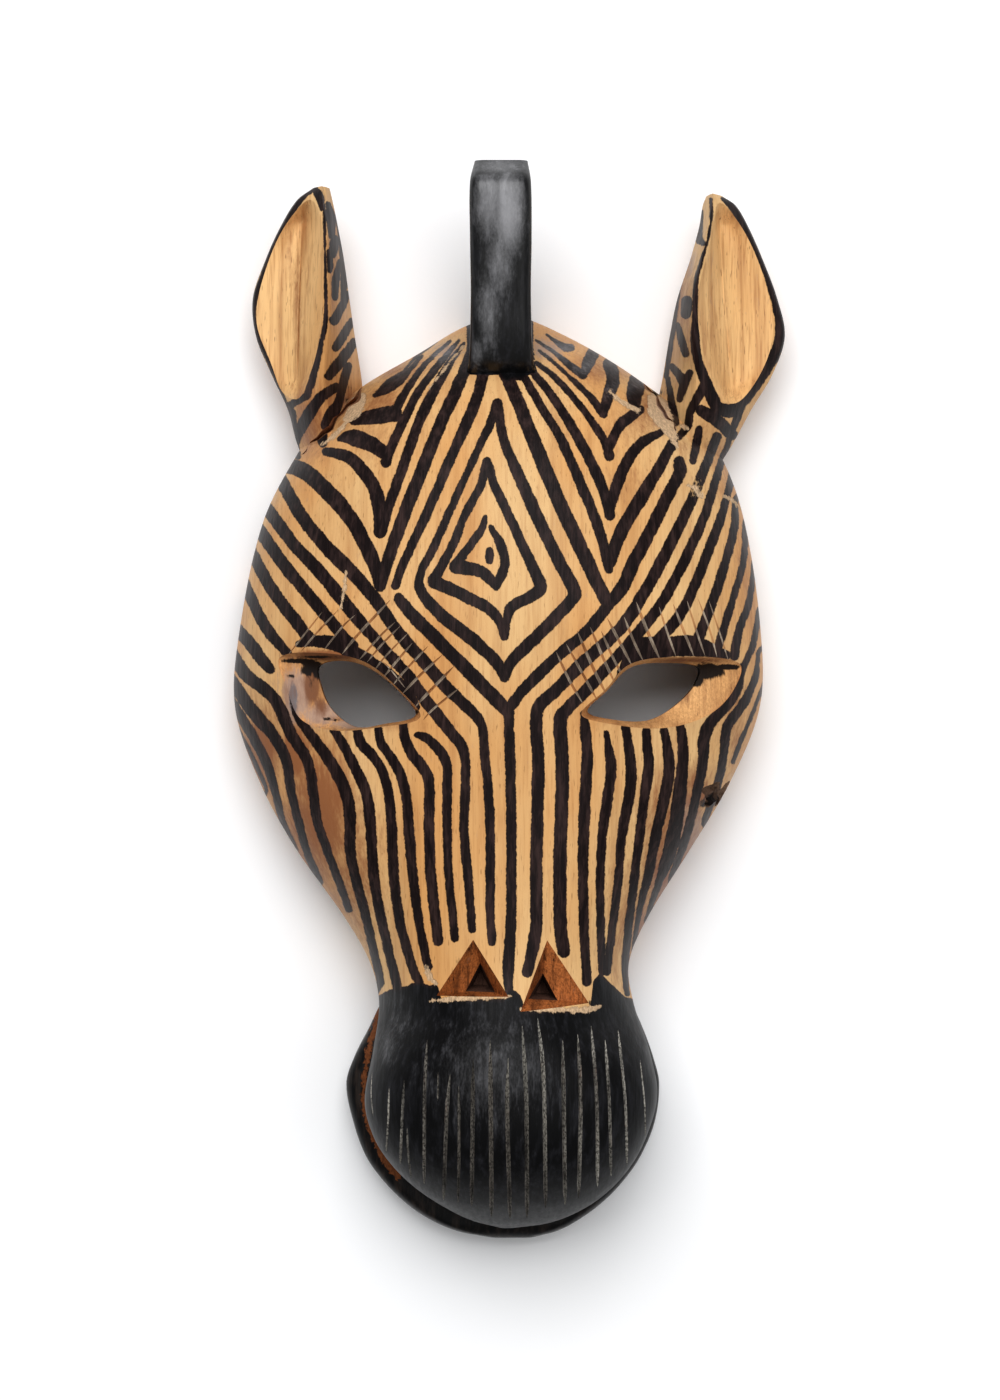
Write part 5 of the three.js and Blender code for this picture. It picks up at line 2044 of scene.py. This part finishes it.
# Dusting greys on the left eye's bevel and the ears, with painted light among them: painted shade greying
# the right cheek's wall and a pale painted reflection on the crown beside the mane.
DUST_AND_PAINTED_LIGHT_SPOTS: Rows = (
    (297, 694, 16, 28, 0.6), (322, 714, 22, 14, 0.5), (350, 724, 20, 5, 0.5), (293, 698, 6, 22, 1.25),
    (343, 400, 8, 10, 0.3), (662, 412, 11, 14, 0.45), (690, 838, 14, 44, 0.6), (662, 890, 12, 44, 0.5),
    (712, 262, 7, 74, 0.1), (690, 262, 6, 20, 0.35), (644, 940, 12, 30, 0.5), (548, 348, 22, 12, 0.4),
    (446, 352, 16, 12, 0.4),
)
# Painted shadow, near black: in the eyes' corners and under the lids, at the nostrils' tips, in the chip on
# the right cheek and in the crevices at the ears' roots.
PAINTED_SHADOW_SPOTS: Rows = (
    (312, 666, 10, 6, 1.3), (318, 672, 8, 8, 1.1), (307, 670, 8, 6, 1.0), (300, 661, 20, 2.5, 1.1),
    (312, 682, 4, 12, 0.5), (291, 676, 6, 2.5, 0.8), (327, 719, 5, 2.5, 0.8), (336, 720, 4, 2, 0.7),
    (707, 671, 16, 8, 1.3), (697, 681, 7, 6, 1.1), (728, 667, 13, 3, 1.1), (712, 800, 8, 8, 0.9),
    (703, 804, 6, 5, 0.8), (657, 392, 6, 5, 0.9), (318, 657, 24, 1.6, 0.8), (351, 388, 3, 6, 0.6),
    (347, 400, 3, 7, 0.6), (417, 712, 3, 4, 0.7), (470.5, 950, 5, 7, 0.6), (545, 955, 4, 9, 0.6),
    (457, 962, 5, 8, 0.5), (592, 1004, 5, 5, 0.7),
)
# Painted highlights on the mane's front and the muzzle's upper left, and a pale painted reflection on the
# stripes beside the mane.
PAINTED_SHEEN_SPOTS: Rows = (
    (508, 212, 17, 46, 0.95), (490, 204, 18, 40, 0.7), (500, 258, 17, 46, 0.55), (488, 310, 13, 52, 0.5),
    (478, 352, 7, 20, 0.45), (500, 166, 36, 12, 0.55), (388, 1045, 14, 26, 0.36), (400, 1022, 18, 26, 0.28),
    (394, 1000, 20, 18, 0.26), (492, 1070, 84, 76, 0.28), (562, 350, 34, 14, 0.5), (588, 366, 24, 14, 0.4),
    (622, 388, 22, 14, 0.35), (444, 352, 22, 14, 0.5),
)
LEFT_EAR = Ear(
    side=-1.0,
    plan=(
        (161.4, 60, 54.8, 57), (158, 64.8, 54, 56.8), (150, 70, 52.4, 55.6), (140, 74.7, 50.6, 54.8),
        (128, 78.8, 49, 54.8), (116, 77.8, 47.3, 55.4), (104, 72.9, 45.4, 57.2), (93, 67.8, 44.4, 57),
        (82, 64.8, 43, 54), (68, 58, 36, 48),
    ),
    scoop=(
        (60.6, 157.4), (57.2, 152), (56.2, 141), (56.2, 126), (57.2, 114), (59.8, 104), (64, 95.8), (69, 98),
        (73, 107.5), (77.6, 121), (74, 138.5), (67.4, 151.5),
    ),
    flute=((63.4, 151), (64.6, 103)),
)
RIGHT_EAR = Ear(
    side=1.0,
    plan=(
        (159, 66.6, 61.6, 63.2), (156.4, 70.6, 60.6, 63), (150, 74.6, 59.6, 62), (140, 79.2, 56.9, 60),
        (128, 83.8, 53, 57.4), (116, 86.19, 50.6, 57), (104, 82.2, 48.6, 58.8), (93, 75.6, 46.4, 58),
        (82, 69.6, 44, 55), (68, 60.6, 36, 48),
    ),
    scoop=(
        (65.4, 156.4), (63.2, 150), (61.3, 140), (58.7, 129), (58.5, 117), (61.2, 104.8), (66, 95),
        (70.5, 94.6), (77.8, 103.2), (82.2, 116), (79.5, 134), (72, 150),
    ),
    flute=((65.6, 150), (69, 101)),
)
LEFT_EYE = (
    (
        (-26, -1.8), (-32.6, 6.7), (-42.5, 14.6), (-55, 17.4), (-69, 16), (-67, 7.5), (-62.5, -2.5),
        (-53, -5.8), (-38, -4.8),
    ),
    (
        (-27.6, -1.2), (-33, 6.3), (-43, 13.6), (-52, 15.2), (-57.2, 13.4), (-56.4, 7), (-53.2, 0.4),
        (-46, -4.8), (-37, -3.9),
    ),
)
RIGHT_EYE = (
    (
        (22.2, -1), (29.4, 6.4), (36.4, 13.8), (50, 16.2), (71.2, 14), (69.4, 7), (62.5, -0.4), (49, -5),
        (31.6, -4),
    ),
    (
        (24.2, -0.2), (30, 6), (37.1, 13), (48, 14.6), (58.4, 13), (57.4, 8.4), (51.6, 2), (43, -2.8),
        (32, -2.6),
    ),
)
LEFT_NOSTRIL = (
    ((-10.2, -68.6), (-21.2, -85.6), (0.4, -85.6)),
    ((-8.1, -75.8), (-12.5, -84.4), (-3.6, -84.6)),
)
RIGHT_NOSTRIL = (
    ((12, -68.8), (4, -90), (24.6, -88)),
    ((10.8, -79), (6.4, -86.6), (15.2, -87.2)),
)
CHIPS = (Chip((71, -26.6, 41), (12, 5.8, 12)), Chip((70.6, -26.4, 27), (7, 5.0, 10)))
CREVICES = (
    (
        (-42.4, 104, 17), (-46.5, 97, 27), (-51.5, 90, 34.5), (-57, 84, 36.5), (-63, 79.6, 31),
        (-66.5, 77.4, 25),
    ),
    ((41.4, 104, 17), (45, 97.5, 28), (49, 90.5, 37.5), (51.6, 85.5, 43.5)),
)


@dataclass
class ZebraMask:
    """The whole mask, carved from one block and stained."""

    finish: dict[Surface, Material]
    head: Head = field(default_factory=Head)

    def carve(self) -> Object:
        """Joins and cuts the block.

        Returns:
            The carved piece, in the carver's frame.
        """
        head = self.head
        wood = self.finish
        piece = head.shell().build("mask", wood[Surface.HEAD])
        knife = Carver(piece)
        jaw = Jaw(head)
        slit = jaw.slab_shell().build("slit", wood[Surface.MOUTH])
        Carver(slit).work(jaw.core_shell().build("core", wood[Surface.MOUTH]), Cut.TAKE)
        knife.work(slit, Cut.TAKE)
        knife.work(jaw.shell().build("jaw", wood[Surface.JAW]), Cut.JOIN)
        knife.work(Mane().shell().build("mane", wood[Surface.MANE]), Cut.JOIN)
        for ear in (LEFT_EAR, RIGHT_EAR):
            leaf = ear.shell().build("ear", wood[Surface.EAR])
            Carver(leaf).work(ear.scoop_shell().build("scoop", wood[Surface.SCOOP]), Cut.TAKE)
            knife.work(leaf, Cut.JOIN)
        log.info("block joined: %d triangles", triangles(piece))
        knife.work(Hollow(head).shell().build("hollow", wood[Surface.HOLLOW]), Cut.TAKE)
        for rim, hole in (LEFT_EYE, RIGHT_EYE):
            knife.work(Eye(head, rim, hole).shell().build("eye", wood[Surface.CUT]), Cut.TAKE)
        for pit, hole in (LEFT_NOSTRIL, RIGHT_NOSTRIL):
            nostril = Nostril(head, pit, hole)
            knife.work(nostril.shell().build("nostril", wood[Surface.NOSTRIL]), Cut.TAKE)
            knife.work(nostril.deep_shell().build("nostril_hole", wood[Surface.PIT]), Cut.TAKE)
        for chip in CHIPS:
            knife.work(chip.shell().build("chip", wood[Surface.CHIP]), Cut.TAKE)
        for path in CREVICES:
            knife.work(Crevice(path).shell().build("crevice", wood[Surface.TORN]), Cut.TAKE)
        self.score(knife)
        log.info("mask carved: %d triangles", triangles(piece))
        return piece

    def score(self, knife: Carver) -> None:
        """Cuts the muzzle's lines and the hatching on the brows.

        Args:
            knife: the carver at work on the mask.
        """
        tree = BladeTree()
        cuts = ((FLUTES, Surface.FLUTE), (LEFT_BROW, Surface.SCORE), (RIGHT_BROW, Surface.SCORE))
        for grooves, surface in cuts:
            knife.work(grooves.cutter(self.head, tree, self.finish[surface]), Cut.TAKE)

    def paint(self, piece: Object) -> None:
        """Works out the stain and the wear at each point of the piece.

        Args:
            piece: the carved piece, in the carver's frame.
        """
        mesh = piece.data
        points = read(mesh.vertices, "co", 3) / MM
        normals = read(mesh.vertex_normals, "vector", 3)
        painter = Painter(self.head, mesh, points)
        for rank, values in enumerate(painter.nearest(STRIPES, 3)):
            store(mesh, f"stroke_{rank}", values, "CORNER")
        store(mesh, "scrape", painter.nearest(SCRAPES, 1)[0], "CORNER")
        store(mesh, "jaw_scrape", painter.nearest(JAW_SCRAPES, 1)[0], "CORNER")
        zone = np.minimum(self.muzzle_edge(painter.flat), self.mane_foot(painter.pixels))
        solid = touched(mesh, self.finish[Surface.MANE]) | touched(mesh, self.finish[Surface.JAW])
        store(mesh, "zone", np.where(solid, -12.0, zone))
        store(mesh, "behind", smooth(-0.45, -0.7, normals[:, 2]))
        # burnished tone, with painted shade
        store(mesh, "burnish_and_shade", spots(painter.flat, BURNISH_AND_SHADE_SPOTS))
        store(mesh, "worn", spots(painter.flat, WORN_SPOTS))
        # dusting, with painted shade and a painted reflection
        store(mesh, "dust_and_painted_light", spots(painter.flat, DUST_AND_PAINTED_LIGHT_SPOTS))
        # painted shadow
        store(mesh, "painted_shadow", spots(painter.pixels, PAINTED_SHADOW_SPOTS))
        # painted highlights and reflection
        store(mesh, "painted_sheen", spots(painter.pixels, PAINTED_SHEEN_SPOTS))

    def muzzle_edge(self, pixels: Array) -> Array:
        """Signed distance to the edge of the muzzle's black, below zero under it."""
        line = MUZZLE_EDGE
        return np.interp(pixels[:, 0], [x for x, _ in line], [y for _, y in line]) - pixels[:, 1]

    def mane_foot(self, pixels: Array) -> Array:
        """Signed distance to the black that runs from the mane onto the forehead.

        Args:
            pixels: where the points are seen.

        Returns:
            The distance of each.
        """
        line = MANE_FOOT
        low = np.interp(pixels[:, 0], [x for x, _ in line], [y for _, y in line])
        middle, half = (line[0][0] + line[-1][0]) / 2, (line[-1][0] - line[0][0]) / 2
        return np.maximum(np.abs(pixels[:, 0] - middle) - half, pixels[:, 1] - low)

    def build(self) -> Object:
        """Carves, paints and places the mask.

        Returns:
            The finished piece, in the part's frame.
        """
        piece = self.carve()
        self.paint(piece)
        mesh = piece.data
        points = read(mesh.vertices, "co", 3) / MM
        mesh.vertices.foreach_set("co", to_part(points).ravel())
        mesh.polygons.foreach_set("use_smooth", np.ones(len(mesh.polygons), dtype=bool))
        mesh.set_sharp_from_angle(angle=math.radians(34.0))
        mesh.update()
        piece.name = "carved_mask"
        return piece


@dataclass
class Studio:
    """The pale floor, the soft light and the camera over the mask."""

    floor_size: float = 6.0
    floor_drop: float = 0.0004  # under the mask's flat back
    camera_at: Triple = (-0.0028, 0.00235, 1.5)
    sensor: float = 36.0

    def floor(self) -> None:
        """A pale matt floor, which isn't part of the object."""
        half, low = self.floor_size / 2, -self.floor_drop
        mesh = bpy.data.meshes.new("floor")
        corners = [(-half, -half, low), (half, -half, low), (half, half, low), (-half, half, low)]
        mesh.from_pydata(corners, [], [(0, 1, 2, 3)])
        shade = Shade("floor_paper")
        tone = shade.blend(shade.noise(3.0).above(0.3, 0.7), (0.95, 0.957, 0.972), (0.96, 0.967, 0.98))
        mesh.materials.append(shade.done(tone, 0.85, shade.noise(800.0), 0.00002))
        placed("floor", mesh)

    def lamp(self, name: str, at: Triple, size: float, power: float) -> None:
        """A square soft lamp that looks at the mask.

        Args:
            name: the lamp's name.
            at: its place in metres.
            size: its side in metres.
            power: its power in watts.
        """
        light = bpy.data.lights.new(name, "AREA")
        light.shape = "SQUARE"
        light.size = size
        light.energy = power
        piece = placed(name, light)
        piece.location = at
        piece.rotation_euler = (-Vector(at)).to_track_quat("-Z", "Y").to_euler()

    def lights(self) -> None:
        """The lamps and the bright room."""
        self.lamp("key", (-0.16, 0.9, 2.0), 1.4, 41.0)
        self.lamp("fill", (0.75, 0.1, 2.0), 1.6, 12.0)
        world = bpy.data.worlds.new("room")
        world.use_nodes = True
        background = world.node_tree.nodes["Background"]
        background.inputs["Color"].default_value = (1.0, 1.0, 1.0, 1.0)
        background.inputs["Strength"].default_value = 0.3
        bpy.context.scene.world = world

    def camera(self) -> None:
        """The camera straight above the mask."""
        lens = bpy.data.cameras.new("camera")
        lens.sensor_width = self.sensor
        lens.lens = Photo.focal / Photo.height * self.sensor
        lens.clip_start = 0.05
        piece = placed("camera", lens)
        piece.location = self.camera_at
        bpy.context.scene.camera = piece

    def build(self) -> None:
        """Sets up floor, lights and camera, and how light becomes colour."""
        self.floor()
        self.lights()
        self.camera()
        bpy.context.scene.view_settings.view_transform = "Standard"
        bpy.context.scene.view_settings.look = "None"


def main() -> None:
    """Builds the studio and the mask, and hands the mask to the frame."""
    logging.basicConfig(level=logging.INFO, format="%(message)s")
    Studio().build()
    log.info("studio ready")
    mask = ZebraMask(finishes())
    piece = mask.build()
    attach(piece, "root")
    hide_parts(NODE)
    log.info("%s: %d triangles", piece.name, triangles(piece))


if __name__ == "__main__":
    main()
